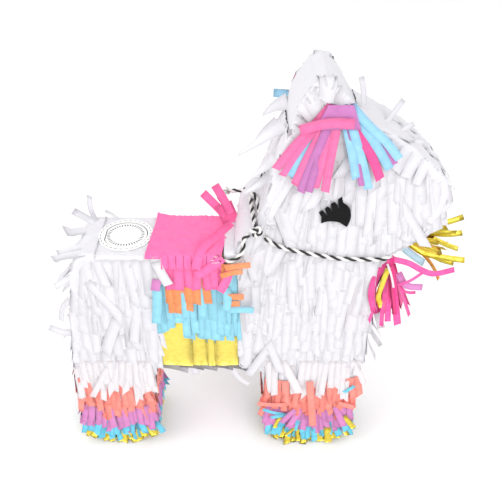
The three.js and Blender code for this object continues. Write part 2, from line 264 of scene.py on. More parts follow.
class Sheaf:
    """Strips that are gathered into one mesh, each a thin closed ribbon."""

    def __init__(self, name):
        self.name = name
        self.rng = random.Random(name)
        self.verts, self.faces, self.mats, self.sharp = [], [], [], []
        self.tones, self.grains = [], []
        self.size = 0

    def add(self, verts, faces, mat, sharp, tone, grain):
        self.verts.append(verts)
        self.faces.extend(tuple(i + self.size for i in face) for face in faces)
        self.mats.extend([mat] * len(faces))
        self.sharp.extend(sharp)
        self.tones.append(np.full(len(verts), tone))
        self.grains.append(grain)
        self.size += len(verts)

    def ribbon(self, path, across, width, tone=1.0, mat=0, cup=0.0, taper=1.0, slant=0.0):
        """A ribbon along a path of points, with its width along across at each of them.

        Cup bows it across its width, taper is its width at the end as a share of that at the start,
        and slant cuts its end askew.
        """
        n = len(path)
        ways = np.gradient(path, axis=0)
        ways /= np.linalg.norm(ways, axis=1)[:, None] + 1e-9
        across = across - ways * (across * ways).sum(1)[:, None]
        across /= np.linalg.norm(across, axis=1)[:, None] + 1e-9
        normal = np.cross(across, ways)
        half = np.linspace(1, taper, n)[:, None] * width / 2
        middle = path + normal * cup * width
        left = path - across * half
        right = path + across * half
        left[-1] += ways[-1] * slant
        right[-1] -= ways[-1] * slant
        top = np.stack([left, middle, right], 1) + normal[:, None, :] * TISSUE / 2
        under = np.stack([left, middle, right], 1) - normal[:, None, :] * TISSUE / 2
        verts = np.concatenate([top.reshape(-1, 3), under.reshape(-1, 3)])
        verts[:, 2] = np.maximum(verts[:, 2], FLOOR_GAP)
        faces, sharp = ribbon_faces(n)
        along = np.linspace(0, np.linalg.norm(np.diff(path, axis=0), axis=1).sum(), n)
        seed = self.rng.uniform(0, GRAIN_SPREAD)
        grain = np.zeros((n, 3, 3))
        grain[:, :, 0] = np.array([-width / 2, 0, width / 2])[None, :]
        grain[:, :, 1] = along[:, None]
        grain[:, :, 2] = seed
        self.add(verts, faces, mat, sharp, tone, np.concatenate([grain.reshape(-1, 3)] * 2))

    def backing(self, *nodes, mat=0):
        """The CAD skins themselves, as the sheet that the strips are glued to."""
        for node in nodes:
            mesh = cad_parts[node].data
            verts = from_frame([v.co for v in mesh.vertices])
            faces = [tuple(p.vertices) for p in mesh.polygons]
            self.add(verts, faces, mat, [True] * len(faces), 1.0, verts.copy())

    def finish(self, materials, body, slot, nodes):
        """The mesh as an object that rides a body and stands in for its CAD nodes."""
        mesh = bpy.data.meshes.new(self.name)
        mesh.from_pydata(to_frame(np.concatenate(self.verts)).tolist(), [], self.faces)
        for material in materials:
            mesh.materials.append(material)
        mesh.polygons.foreach_set("material_index", self.mats)
        sharp = mesh.attributes.get("sharp_face") or mesh.attributes.new("sharp_face", "BOOLEAN", "FACE")
        sharp.data.foreach_set("value", self.sharp)
        tones = mesh.attributes.new("tone", "FLOAT", "POINT")
        tones.data.foreach_set("value", np.concatenate(self.tones))
        grains = mesh.attributes.new("grain", "FLOAT_VECTOR", "POINT")
        grains.data.foreach_set("vector", np.concatenate(self.grains).ravel())
        mesh.update()
        obj = bpy.data.objects.new(self.name, mesh)
        bpy.context.scene.collection.objects.link(obj)
        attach(obj, body)
        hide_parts(*nodes)
        return obj


FACE_CACHE = {}


def ribbon_faces(n):
    """Faces of a ribbon of n cross-sections of three points, over and under, and which are its rim."""
    if n not in FACE_CACHE:
        under = 3 * n
        faces, rim = [], []
        for i in range(n - 1):
            for j in range(2):
                a, b = 3 * i + j, 3 * i + j + 1
                faces += [(a, b, b + 3, a + 3), (under + a, under + a + 3, under + b + 3, under + b)]
            for a, flip in ((3 * i, False), (3 * i + 2, True)):
                side = (a, a + 3, under + a + 3, under + a)
                rim.append(side[::-1] if flip else side)
        for row, flip in ((0, True), (n - 1, False)):
            for j in range(2):
                a = 3 * row + j
                end = (a, a + 1, under + a + 1, under + a)
                rim.append(end[::-1] if flip else end)
        faces = [f[::-1] for f in faces] + rim
        FACE_CACHE[n] = (faces, [False] * (4 * (n - 1)) + [True] * len(rim))
    return FACE_CACHE[n]


STRIP_POINTS = 7
OVERLAP = 0.86  # step from strip to strip, as a share of their width


def flank_strip(sheaf, side, x, z, length, width, lean=0.0, sway=0.0, lift=0.3, flare=1.5, twist=0.0, **look):
    """A strip glued to a flat side at (x, z) that hangs down. Lean is in degrees towards the nose."""
    t = np.linspace(0, 1, STRIP_POINTS)
    angle = math.radians(lean)
    way = np.array([math.sin(angle), -math.cos(angle)])
    cross = np.array([-way[1], way[0]])
    xz = np.array([x, z]) + np.outer(t * length, way) + np.outer(sway * t ** 2, cross)
    base = np.stack([xz[:, 0], np.full(len(t), side * SKIN_Y), xz[:, 1]], 1)
    offset = lift + flare * t ** 1.5 + 0.02 * np.array([sheaf.rng.uniform(-1, 1) for _ in t]) * (t > 0)
    offset = pressed(base, np.maximum(offset, 0.08))
    path = base.copy()
    path[:, 1] += side * offset
    spin = np.radians(twist) * t
    across = np.stack([np.cos(spin) * cross[0], side * np.sin(spin), np.cos(spin) * cross[1]], 1)
    sheaf.ribbon(path, across, width, cup=sheaf.rng.uniform(-0.015, 0.015), **look)


def edge_strip(sheaf, index, heading, y, length, width, lean=0.0, lift=0.3, flare=1.5, droop=0.0,
               twist=0.0, rise=0.0, **look):
    """A strip glued across an edge band that follows the outline. Rise, in degrees, stands it up."""
    t = np.linspace(0, 1, STRIP_POINTS)
    normal = profile.normals[index]
    way = profile.ways[index] * heading
    up = math.radians(rise)
    way = way * math.cos(up) + normal * math.sin(up)
    angle = math.radians(lean)
    start = profile.points[index] + normal * (SKIN_EDGE + lift)
    xz = start + np.outer(t * length * math.cos(angle), way) + np.outer(flare * t ** 2, normal)
    xz[:, 1] -= droop * t ** 2
    nearest, distance = profile.project(xz)
    ys = y + math.sin(angle) * length * t
    foot = profile.points[nearest]
    out = profile.normals[nearest]
    base = np.stack([foot[:, 0], ys, foot[:, 1]], 1) + SKIN_EDGE * np.stack([out[:, 0], 0 * ys, out[:, 1]], 1)
    offset = np.maximum(distance - SKIN_EDGE, lift * (0.4 + 0.6 * t))
    offset = pressed(base, offset)
    path = base + np.stack([out[:, 0] * offset, 0 * ys, out[:, 1] * offset], 1)
    spin = np.radians(twist) * t
    across = np.stack([np.sin(spin) * out[:, 0], np.cos(spin), np.sin(spin) * out[:, 1]], 1)
    sheaf.ribbon(path, across, width, cup=sheaf.rng.uniform(-0.03, 0.03), **look)


def free_strip(sheaf, points, width, facing=(0, -1, 0), **look):
    """A strip along a smooth line through a few points, its flat face turned towards facing."""
    path = smooth_route(points, 2.2)
    ways = np.gradient(path, axis=0)
    across = np.cross(ways, np.array(facing, float))
    sheaf.ribbon(path, across, width, **look)


def free_strips(sheaf, strips, **look):
    """Single strips from a list of points and widths."""
    for points, width in strips:
        free_strip(sheaf, points, width, **look)


ROW_TONE = (0.995, 0.012)  # brightness of the strips in a white row: middle and spread


def flank_rows(sheaf, side, x_range, levels, pitch, width=4.6, length=15.0, floor_z=0.0, overhang=2.5,
               lean_at=None, flare=(0.04, 0.2), wild=0.02, lean_spread=3.5, layers=2, mat=0,
               length_spread=0.16, uneven=6.0, share=1.0, lift=0.1):
    """Rows of strips on a flat side, from the top level down, cut off by the outline.

    Wild is the share of strips that stand out, and share that of the places that hold a strip.
    """
    rng = sheaf.rng
    for row, level in enumerate(levels):
        for layer in range(layers):
            x = x_range[0] + width * rng.uniform(0.1, 0.9) * (0.5 if layer else 0.2)
            while x < x_range[1] - width * 0.3:
                w = width * rng.uniform(0.82, 1.12)
                centre = min(x + w / 2, x_range[1] - w * 0.4)
                x += w * OVERLAP
                if rng.random() > share:
                    continue
                for low, high in profile.chords(centre):
                    root = min(level - (rng.uniform(0, uneven) if row else 0), high - 0.3)
                    if root <= level - uneven - pitch or root < low + 1.5 or root < floor_z:
                        continue
                    room = root - low + rng.uniform(0.2, 1) * overhang
                    reach = min(length * rng.gauss(1, length_spread), room)
                    odd = rng.random() < wild
                    lean = rng.gauss(0, lean_spread) + (lean_at(centre, root) if lean_at else 0)
                    lean += rng.choice((-1, 1)) * rng.uniform(12, 30) if odd else 0
                    flank_strip(
                        sheaf, side, centre, root, reach, w, lean=lean,
                        sway=rng.gauss(0, 0.5), lift=lift + 0.07 * layer,
                        flare=(rng.uniform(*flare) + (rng.uniform(0.5, 1.6) if odd else 0)) * reach / length,
                        twist=rng.gauss(0, 3) * (5 if odd else 1),
                        tone=rng.gauss(*ROW_TONE), mat=mat, slant=rng.gauss(0, 1.4))


def edge_rows(sheaf, start, end, pitch, width=4.6, length=13.0, flare=(0.3, 1.5), wild=0.08, droop=0.0,
              rise=(0, 0), layers=1, skip=0, curl=10.0, share=1.0):
    """Rows of strips across the edge bands, from one corner of the outline towards another."""
    rng = sheaf.rng
    half = SKIN_Y - 0.2
    indexes, heading = profile.run(start, end, pitch)
    for index in indexes[skip:]:
        for layer in range(layers):
            y = -half + width * rng.uniform(0, 0.5) * layer
            while y < half - width * 0.4:
                w = width * rng.uniform(0.85, 1.12)
                odd = rng.random() < wild
                reach = length * rng.gauss(1, 0.12)
                y += w * OVERLAP
                if rng.random() > share:
                    continue
                edge_strip(
                    sheaf, (index + int(rng.gauss(0, 3))) % profile.count, heading, y - w / 2, reach, w,
                    lean=rng.gauss(0, 6) + (rng.uniform(-25, 25) if odd else 0),
                    lift=0.22 + 0.3 * layer, flare=rng.uniform(*flare) * (2 if odd else 1), droop=droop,
                    twist=rng.gauss(0, curl), rise=rng.uniform(*rise) + (rng.uniform(5, 35) if odd else 0),
                    tone=rng.gauss(*ROW_TONE), slant=rng.gauss(0, 0.9))


# ---- materials ------------------------------------------------------------------------------


def new_material(name):
    """A material with its nodes, its links and its shader."""
    material = bpy.data.materials.new(name)
    material.use_nodes = True
    nodes = material.node_tree.nodes
    shader = nodes["Principled BSDF"]
    return material, nodes, material.node_tree.links, shader


def noise(nodes, links, vector, scale, detail=3.0, stretch=None):
    """A noise texture on a vector output, stretched along its axes if asked."""
    if stretch:
        mapping = nodes.new("ShaderNodeMapping")
        mapping.inputs["Scale"].default_value = stretch
        links.new(vector, mapping.inputs["Vector"])
        vector = mapping.outputs["Vector"]
    texture = nodes.new("ShaderNodeTexNoise")
    texture.inputs["Scale"].default_value = scale
    texture.inputs["Detail"].default_value = detail
    links.new(vector, texture.inputs["Vector"])
    return texture.outputs["Fac"]


def attribute(nodes, name, output):
    """A value that the mesh holds at each of its points."""
    node = nodes.new("ShaderNodeAttribute")
    node.attribute_name = name
    return node.outputs[output]


def ramp(nodes, links, factor, stops):
    """A colour that runs through the stops, each a place from 0 to 1 and a colour."""
    node = nodes.new("ShaderNodeValToRGB")
    elements = node.color_ramp.elements
    while len(elements) < len(stops):
        elements.new(0.5)
    for element, (place, colour) in zip(elements, stops):
        element.position = place
        element.color = (*colour, 1.0)
    links.new(factor, node.inputs["Fac"])
    return node.outputs["Color"]


def bump(nodes, links, height, distance, strength, shader):
    """Relief on the shader, its depth in metres."""
    node = nodes.new("ShaderNodeBump")
    node.inputs["Distance"].default_value = distance
    node.inputs["Strength"].default_value = strength
    links.new(height, node.inputs["Height"])
    links.new(node.outputs["Normal"], shader.inputs["Normal"])


def scale_value(nodes, links, value, low, high):
    """A value from 0 to 1 as one from low to high."""
    node = nodes.new("ShaderNodeMapRange")
    node.inputs["To Min"].default_value = low
    node.inputs["To Max"].default_value = high
    links.new(value, node.inputs["Value"])
    return node.outputs["Result"]


def tinted(nodes, links, colour, amount):
    """A colour multiplied by a value."""
    node = nodes.new("ShaderNodeVectorMath")
    node.operation = "SCALE"
    links.new(colour, node.inputs[0])
    links.new(amount, node.inputs["Scale"])
    return node.outputs["Vector"]


def tissue(name, colour, shade, alpha=1.0, relief=0.3):
    """Crepe-like tissue: cloudy between two colours, lengthwise creases, wide crumples and a soft sheen."""
    material, nodes, links, shader = new_material(name)
    grain = attribute(nodes, "grain", "Vector")
    cloud = noise(nodes, links, grain, 0.35, 2.0)
    creases = noise(nodes, links, grain, 1.0, 3.0, stretch=(2.6, 0.35, 1.0))
    crumple = noise(nodes, links, object_vector(nodes), 150.0, 2.0, stretch=(1.0, 1.0, 0.55))
    base = ramp(nodes, links, cloud, [(0.3, shade), (0.62, colour)])
    links.new(tinted(nodes, links, base, attribute(nodes, "tone", "Fac")), shader.inputs["Base Color"])
    links.new(scale_value(nodes, links, creases, 0.62, 0.9), shader.inputs["Roughness"])
    shader.inputs["Specular IOR Level"].default_value = 0.3
    shader.inputs["Sheen Weight"].default_value = 0.15
    shader.inputs["Sheen Roughness"].default_value = 0.5
    shader.inputs["Alpha"].default_value = alpha
    height = nodes.new("ShaderNodeMath")
    height.operation = "MULTIPLY_ADD"
    height.inputs[1].default_value = 0.3
    links.new(creases, height.inputs[0])
    links.new(crumple, height.inputs[2])
    bump(nodes, links, height.outputs["Value"], 0.0015, relief, shader)
    return material


def foil(name, colour, shade, relief=0.5, rough=(0.22, 0.4)):
    """Thin metal foil with sharp crumples."""
    material, nodes, links, shader = new_material(name)
    grain = attribute(nodes, "grain", "Vector")
    cloud = noise(nodes, links, grain, 0.5, 2.0)
    base = ramp(nodes, links, cloud, [(0.3, shade), (0.6, colour)])
    links.new(tinted(nodes, links, base, attribute(nodes, "tone", "Fac")), shader.inputs["Base Color"])
    shader.inputs["Metallic"].default_value = 0.95
    crumple = noise(nodes, links, grain, 0.45, 1.0, stretch=(1.0, 0.5, 1.0))
    links.new(scale_value(nodes, links, cloud, *rough), shader.inputs["Roughness"])
    bump(nodes, links, crumple, 0.001, relief, shader)
    return material


def object_vector(nodes):
    return nodes.new("ShaderNodeTexCoord").outputs["Object"]


def card_material():
    """Grey-brown card with fibres and flecks."""
    material, nodes, links, shader = new_material("card")
    where = object_vector(nodes)
    fibres = noise(nodes, links, where, 900.0, 4.0, stretch=(1.0, 1.0, 0.35))
    flecks = noise(nodes, links, where, 2600.0, 2.0)
    browns = [(0.3, (0.46, 0.36, 0.26)), (0.55, (0.60, 0.49, 0.37)), (0.8, (0.68, 0.58, 0.46))]
    base = ramp(nodes, links, fibres, browns)
    flecked = tinted(nodes, links, base, scale_value(nodes, links, flecks, 0.85, 1.12))
    links.new(flecked, shader.inputs["Base Color"])
    shader.inputs["Roughness"].default_value = 0.88
    bump(nodes, links, fibres, 0.0002, 0.4, shader)
    return material


def gloss_black():
    """Black plastic with a faint mottle."""
    material, nodes, links, shader = new_material("eye_black")
    where = object_vector(nodes)
    mottle = noise(nodes, links, where, 700.0, 3.0)
    base = ramp(nodes, links, mottle, [(0.35, (0.004, 0.0036, 0.004)), (0.7, (0.007, 0.0064, 0.0068))])
    links.new(base, shader.inputs["Base Color"])
    links.new(scale_value(nodes, links, mottle, 0.3, 0.45), shader.inputs["Roughness"])
    shader.inputs["Specular IOR Level"].default_value = 0.12
    bump(nodes, links, mottle, 0.0002, 0.15, shader)
    return material


def twine_cotton(name, colour, shade):
    """One ply of cotton, with fibres that run along it."""
    material, nodes, links, shader = new_material(name)
    grain = attribute(nodes, "grain", "Vector")
    fibres = noise(nodes, links, grain, 3.0, 3.0, stretch=(2.0, 0.5, 1.0))
    links.new(ramp(nodes, links, fibres, [(0.3, shade), (0.65, colour)]), shader.inputs["Base Color"])
    shader.inputs["Roughness"].default_value = 0.9
    shader.inputs["Sheen Weight"].default_value = 0.3
    bump(nodes, links, fibres, 0.0003, 0.6, shader)
    return material


WHITE = (0.682, 0.672, 0.707)
WHITE_SHADE = (0.665, 0.655, 0.69)
white_tissue = tissue("white_tissue", WHITE, WHITE_SHADE, relief=0.18)
white_sheer = tissue("white_tissue_sheer", (0.90, 0.86, 0.885), (0.86, 0.82, 0.845), alpha=0.7, relief=0.2)
pink_tissue = tissue("pink_tissue", (0.97, 0.165, 0.40), (0.93, 0.14, 0.37))
hot_pink = tissue("hot_pink_tissue", (0.86, 0.035, 0.24), (0.74, 0.02, 0.19))
orange_tissue = tissue("orange_tissue", (1.0, 0.37, 0.15), (0.93, 0.31, 0.12), alpha=0.72)
blue_tissue = tissue("blue_tissue", (0.28, 0.61, 0.74), (0.25, 0.56, 0.69))
coral_tissue = tissue("coral_tissue", (0.95, 0.29, 0.24), (0.90, 0.24, 0.20))
lilac_tissue = tissue("lilac_tissue", (0.62, 0.235, 0.50), (0.57, 0.20, 0.46))
turquoise_tissue = tissue("turquoise_tissue", (0.17, 0.62, 0.80), (0.13, 0.52, 0.72))
gold_foil = foil("gold_foil", (0.82, 0.67, 0.10), (0.72, 0.56, 0.06))
forelock_pink = tissue("forelock_pink_tissue", (0.92, 0.20, 0.44), (0.87, 0.17, 0.41), alpha=0.8)
forelock_lilac = tissue("forelock_lilac_tissue", (0.60, 0.22, 0.52), (0.55, 0.19, 0.48), alpha=0.8)
forelock_sky = tissue("forelock_sky_tissue", (0.36, 0.68, 0.88), (0.31, 0.61, 0.83), alpha=0.8)
forelock_rose = tissue("forelock_rose_tissue", (0.84, 0.10, 0.33), (0.78, 0.08, 0.29), alpha=0.85)
tassel_pink = tissue("tassel_pink_tissue", (0.95, 0.13, 0.42), (0.86, 0.09, 0.35), alpha=0.9)
pale_blue = tissue("pale_blue_tissue", (0.52, 0.74, 0.86), (0.45, 0.66, 0.80))
saddle_foil = foil("saddle_gold_foil", (0.86, 0.72, 0.16), (0.78, 0.64, 0.12), relief=0.22, rough=(0.35, 0.5))
amber_foil = foil("amber_foil", (0.62, 0.28, 0.06), (0.45, 0.18, 0.04))
card = card_material()
black_gloss = gloss_black()
black_cotton = twine_cotton("black_cotton", (0.02, 0.02, 0.022), (0.008, 0.008, 0.009))
white_cotton = twine_cotton("white_cotton", (0.86, 0.85, 0.82), (0.66, 0.65, 0.63))

# ---- camera, floor and light ----------------------------------------------------------------

CAMERA_ELEVATION = 36.0
CAMERA_DISTANCE = 282.0
CAMERA_TARGET = (2.0, 0.0, 108.5)
CAMERA_LENS = 47.23
SENSOR = 36.0

KEY_LIGHT = {"place": (0.45, -0.85, 0.8), "size": 0.7, "power": 5.5}  # metres and watts
FILL_LIGHT = {"place": (-0.9, -0.4, 0.7), "size": 0.9, "power": 5.0}
SKY_STRENGTH = 0.95
FLOOR_HALF = 4.0
FLOOR_Z = -0.0002


def make_camera():
    data = bpy.data.cameras.new("camera")
    data.lens = CAMERA_LENS
    data.sensor_width = SENSOR
    camera = bpy.data.objects.new("camera", data)
    up = math.radians(CAMERA_ELEVATION)
    back = np.array([0, -math.cos(up), math.sin(up)]) * CAMERA_DISTANCE
    camera.location = to_frame(np.array(CAMERA_TARGET) + back)
    camera.rotation_euler = (math.pi / 2 - up, 0, 0)
    bpy.context.scene.collection.objects.link(camera)
    bpy.context.scene.camera = camera


def soft_light(name, place, size, power):
    """A square area light, in metres, turned towards the middle of the object."""
    data = bpy.data.lights.new(name, "AREA")
    data.size = size
    data.energy = power
    light = bpy.data.objects.new(name, data)
    light.location = place
    middle = (cad_box[0] + cad_box[1]) / 2
    light.rotation_euler = (middle - Vector(place)).to_track_quat("-Z", "Y").to_euler()
    bpy.context.scene.collection.objects.link(light)


def make_stage():
    """A white floor and soft light from all round, as in a studio photograph."""
    corners = [(x * FLOOR_HALF, y * FLOOR_HALF, 0) for x, y in ((-1, -1), (1, -1), (1, 1), (-1, 1))]
    mesh = bpy.data.meshes.new("floor")
    mesh.from_pydata(corners, [], [(0, 1, 2, 3)])
    floor = bpy.data.objects.new("floor", mesh)
    floor.location.z = FLOOR_Z
    bpy.context.scene.collection.objects.link(floor)
    material, nodes, links, shader = new_material("floor")
    where = object_vector(nodes)
    cloud = noise(nodes, links, where, 3.0)
    base = ramp(nodes, links, cloud, [(0.3, (0.93, 0.93, 0.93)), (0.7, (0.95, 0.95, 0.95))])
    links.new(base, shader.inputs["Base Color"])
    shader.inputs["Roughness"].default_value = 0.9
    mesh.materials.append(material)
    world = bpy.data.worlds.new("studio")
    world.use_nodes = True
    sky = world.node_tree.nodes["Background"]
    sky.inputs["Color"].default_value = (1.0, 1.0, 1.0, 1.0)
    sky.inputs["Strength"].default_value = SKY_STRENGTH
    bpy.context.scene.world = world
    bpy.context.scene.view_settings.view_transform = "Standard"
    soft_light("key_light", **KEY_LIGHT)
    soft_light("fill_light", **FILL_LIGHT)


# ---- twine ----------------------------------------------------------------------------------


def tube(sheaf, path, radius, sides, mat):
    """A closed round tube along a path, with grain along it."""
    first, second = carried_normals(path)
    n = len(path)
    angles = np.linspace(0, 2 * math.pi, sides, endpoint=False)
    rings = (path[:, None, :] + radius * (np.cos(angles)[None, :, None] * first[:, None, :]
                                          + np.sin(angles)[None, :, None] * second[:, None, :]))
    verts = np.concatenate([rings.reshape(-1, 3), path[:1], path[-1:]])
    faces = []
    for i in range(n - 1):
        for j in range(sides):
            k = (j + 1) % sides
            faces.append((i * sides + j, i * sides + k, (i + 1) * sides + k, (i + 1) * sides + j))
    for j in range(sides):
        k = (j + 1) % sides
        faces.append((n * sides, k, j))
        faces.append((n * sides + 1, (n - 1) * sides + j, (n - 1) * sides + k))
    run = run_lengths(path)
    grain = np.zeros((n, sides, 3))
    grain[:, :, 0] = (np.minimum(np.arange(sides), sides - np.arange(sides)) * 0.4)[None, :]
    grain[:, :, 1] = run[:, None]
    grain = np.concatenate([grain.reshape(-1, 3), np.zeros((2, 3))])
    sheaf.add(verts, faces, mat, [False] * len(faces), 1.0, grain)


def carried_normals(path):
    """Two normals at each point of a path, carried along it with no twist."""
    ways = np.gradient(path, axis=0)
    ways /= np.linalg.norm(ways, axis=1)[:, None]
    normal = np.cross(ways[0], [0.3, 0.5, 0.8])
    normal /= np.linalg.norm(normal)
    normals = []
    for way in ways:
        normal = normal - way * normal.dot(way)
        normal /= np.linalg.norm(normal)
        normals.append(normal)
    first = np.array(normals)
    return first, np.cross(ways, first)


def two_ply(sheaf, path, start=0.0):
    """Twine of a black and a white ply, twisted round each other."""
    first, second = carried_normals(path)
    run = run_lengths(path)
    for ply in (0, 1):
        angle = start + math.pi * ply + 2 * math.pi * run / TWIST_PITCH
        centre = path + PLY_OFFSET * (np.cos(angle)[:, None] * first + np.sin(angle)[:, None] * second)
        tube(sheaf, centre, PLY_RADII[ply], 8, ply)


FRAY_FIBRES = 22
FRAY_RADIUS = 0.13


def frayed_end(sheaf, end, way, mat_of):
    """Loose fibres at a cut end."""
    rng = sheaf.rng
    for k in range(FRAY_FIBRES):
        spread = np.array([rng.gauss(0, 1) for _ in range(3)])
        heading = way + 0.32 * spread
        heading /= np.linalg.norm(heading)
        bend = np.array([rng.gauss(0, 0.25) for _ in range(3)])
        t = np.linspace(0, rng.uniform(2.0, 4.6), 6)
        start = end - way * 0.8 + 0.25 * spread
        path = start + np.outer(t, heading) + np.outer(t ** 2 * 0.14, bend)
        tube(sheaf, path, FRAY_RADIUS, 5, mat_of(k))


def make_twine():
    plies = [black_cotton, white_cotton]
    sheaf = Sheaf("twine_collar_cord")
    two_ply(sheaf, collar)
    sheaf.finish(plies, "body", "twine", ["twine_collar"])

    for name, path, start, mat_of in (("front", front_tail, 1.0, lambda k: 1 if k % 6 else 0),
                                      ("rear", rear_tail, 2.0, lambda k: k % 2)):
        sheaf = Sheaf(f"twine_{name}_tail_cord")
        two_ply(sheaf, path, start)
        frayed_end(sheaf, path[-1], unit(path[-1] - path[-4]), mat_of)
        sheaf.finish(plies, "body", "twine", [f"twine_{name}_tail"])

    sheaf = Sheaf("twine_knot_cord")
    t = np.linspace(0, 2 * math.pi, 90)
    loops = (np.sin(t) + 2 * np.sin(2 * t), -1.1 * np.sin(3 * t), np.cos(t) - 2 * np.cos(2 * t))
    trefoil = np.stack(loops, 1)
    two_ply(sheaf, np.array(KNOT_CENTRE) + trefoil * KNOT_SIZE, 0.5)
    sheaf.finish(plies, "body", "twine", ["twine_knot"])


# ---- white fringe ---------------------------------------------------------------------------

CROWN = (41, 173.5)
NAPE_FOOT = (9, 127.5)
NAPE_TOP = (17.5, 168)
EAR_TIP = (28.5, 189.7)
BROW = (74.5, 150.5)
CHIN = (72, 131)
THROAT = (56.5, 117)
CHEST_TOP = (53.6, 113)
CHEST_FOOT = (51, ANKLE_Z)
RUMP_TOP = (-66, 114)
RUMP_FOOT = (-80, ANKLE_Z)
REAR_KNEE = (-43.3, 48)
FRONT_KNEE = (8.5, 48)
HEAD_MIDDLE, HEAD_BOTTOM = 38.0, 122.0  # X that the head's strips fan out from, and Z of its lowest strips
BODY_LEVELS = [90, 76, 66]  # roots of the rows that both flanks share
HEAD_LEVELS = [172, 160, 147, 134]
LEAF_WIDTH = 6.4
# Wide strips on the flat side of the ear: root X and Z, length, lean.
EAR_LEAVES = [
    (22, 172, 15, -14), (27, 174, 15, -4), (32, 174, 15, 6), (36, 173, 13, 14), (24.5, 180, 14, -10),
    (29, 181, 15, 0), (33, 179, 13, 10), (27.4, 187.6, 12, -8), (30.4, 188, 12, 6),
]


def head_lean(x, z):
    """Strips on the head fan out from its middle."""
    return 0.35 * (x - HEAD_MIDDLE) if z > HEAD_BOTTOM else 0.0


def make_white_flanks():
    for side_name, side in (("right", -1), ("left", 1)):
        sheaf = Sheaf(f"white_rump_tissue_{side_name}")
        sheaf.backing(f"white_rump_fringe_{side_name}")
        flank_rows(sheaf, side, (-81, SADDLE_REAR), [114.6, 104] + BODY_LEVELS, 14, length=26, floor_z=56)
        ankle_rows(sheaf, side, (-80.5, -43))
        sheaf.finish([white_tissue, white_sheer], "body", "white_tissue", [f"white_rump_fringe_{side_name}"])

        sheaf = Sheaf(f"white_front_tissue_{side_name}")
        sheaf.backing(f"white_front_fringe_{side_name}")
        flank_rows(sheaf, side, (SADDLE_FRONT, 80), HEAD_LEVELS, 14, length=25, floor_z=121,
                   lean_at=head_lean, overhang=1.5, lean_spread=3)
        flank_rows(sheaf, side, (SADDLE_FRONT, 54), [113.5, 103] + BODY_LEVELS, 14, length=26, floor_z=56)
        ankle_rows(sheaf, side, (8.5, 53))
        for x, z, length, lean in EAR_LEAVES:
            flank_strip(sheaf, side, x, z, length, LEAF_WIDTH, lean=lean, lift=0.5, flare=0.3,
                        slant=sheaf.rng.gauss(0, 2))
        sheaf.finish([white_tissue, white_sheer], "body", "white_tissue", [f"white_front_fringe_{side_name}"])


def ankle_rows(sheaf, side, x_range):
    """Single strips over each ankle, thin enough for the coral row to show through."""
    shared = {"length": 17, "floor_z": 36, "layers": 1, "mat": 1, "length_spread": 0.2}
    flank_rows(sheaf, side, x_range, [56.0], 9, width=3.6, flare=(1.0, 1.6), wild=0.03, lean_spread=2.5,
               lift=0.3, share=0.85, **shared)
    flank_rows(sheaf, side, x_range, [53.0], 9, width=3.4, flare=(1.3, 1.9), wild=0.06, lean_spread=4,
               lift=0.35, share=0.45, **shared)


def ear_bulge(u):
    """How far the ear's sheet stands off at its tip, along the way from the nape over it to the crown."""
    return 0.9 * math.exp(-abs(u - 0.5) / 0.025)


FOLD_SINK = 1.4  # how far the inner end of a folded strip is sunk under the sheet
FOLD_INNER_RIGHT, FOLD_INNER_LEFT = 7.0, 2.4  # how far from each corner that end is
FOLD_SPREAD = 6.0  # of the strips' lean, in degrees
FOLD_REACH = (8, 12)  # shortest and longest part on the flat side


def over_edge(sheaf, stops, pitch, width, lift=0.3):
    """Strips folded from the edge bands over both corners of the outline, down onto the flat sides."""
    rng = sheaf.rng
    indexes = []
    for start, end in zip(stops, stops[1:]):
        indexes += profile.run(start, end, pitch)[0]
    for side in (-1, 1):
        for index in indexes:
            index = (index + rng.randint(-1, 1)) % profile.count
            (px, pz), (nx, nz) = profile.points[index], profile.normals[index]
            lean = math.radians(rng.gauss(0, FOLD_SPREAD))
            down = unit(np.array([-nx, -nz]) * 0.55 + np.array([math.tan(lean), -0.45]))
            length = rng.uniform(*FOLD_REACH)
            stand = lift + rng.uniform(0, 0.25)
            band, corner = SKIN_EDGE + stand, SKIN_EDGE * 0.75 + stand
            sunk = band - FOLD_SINK
            inner = FOLD_INNER_RIGHT if side < 0 else FOLD_INNER_LEFT
            points = [(px + nx * sunk, side * (SKIN_Y - inner), pz + nz * sunk),
                      (px + nx * band, side * (SKIN_Y - 1.2), pz + nz * band),
                      (px + nx * corner, side * (SKIN_Y + 0.1), pz + nz * corner)]
            for part in (0.35, 0.7, 1.0):
                drop = length * part
                points.append((px + nx * SKIN_EDGE + down[0] * drop, side * (SKIN_Y + 0.5 + 0.5 * part),
                               pz + nz * SKIN_EDGE + down[1] * drop))
            path = smooth_route(points, 1.2)
            way = profile.ways[index]
            across = np.tile([way[0], 0.0, way[1]], (len(path), 1))
            sheaf.ribbon(path, across, width * rng.uniform(0.85, 1.1), tone=rng.gauss(*ROW_TONE), taper=0.7,
                         slant=rng.gauss(0, 1.2))


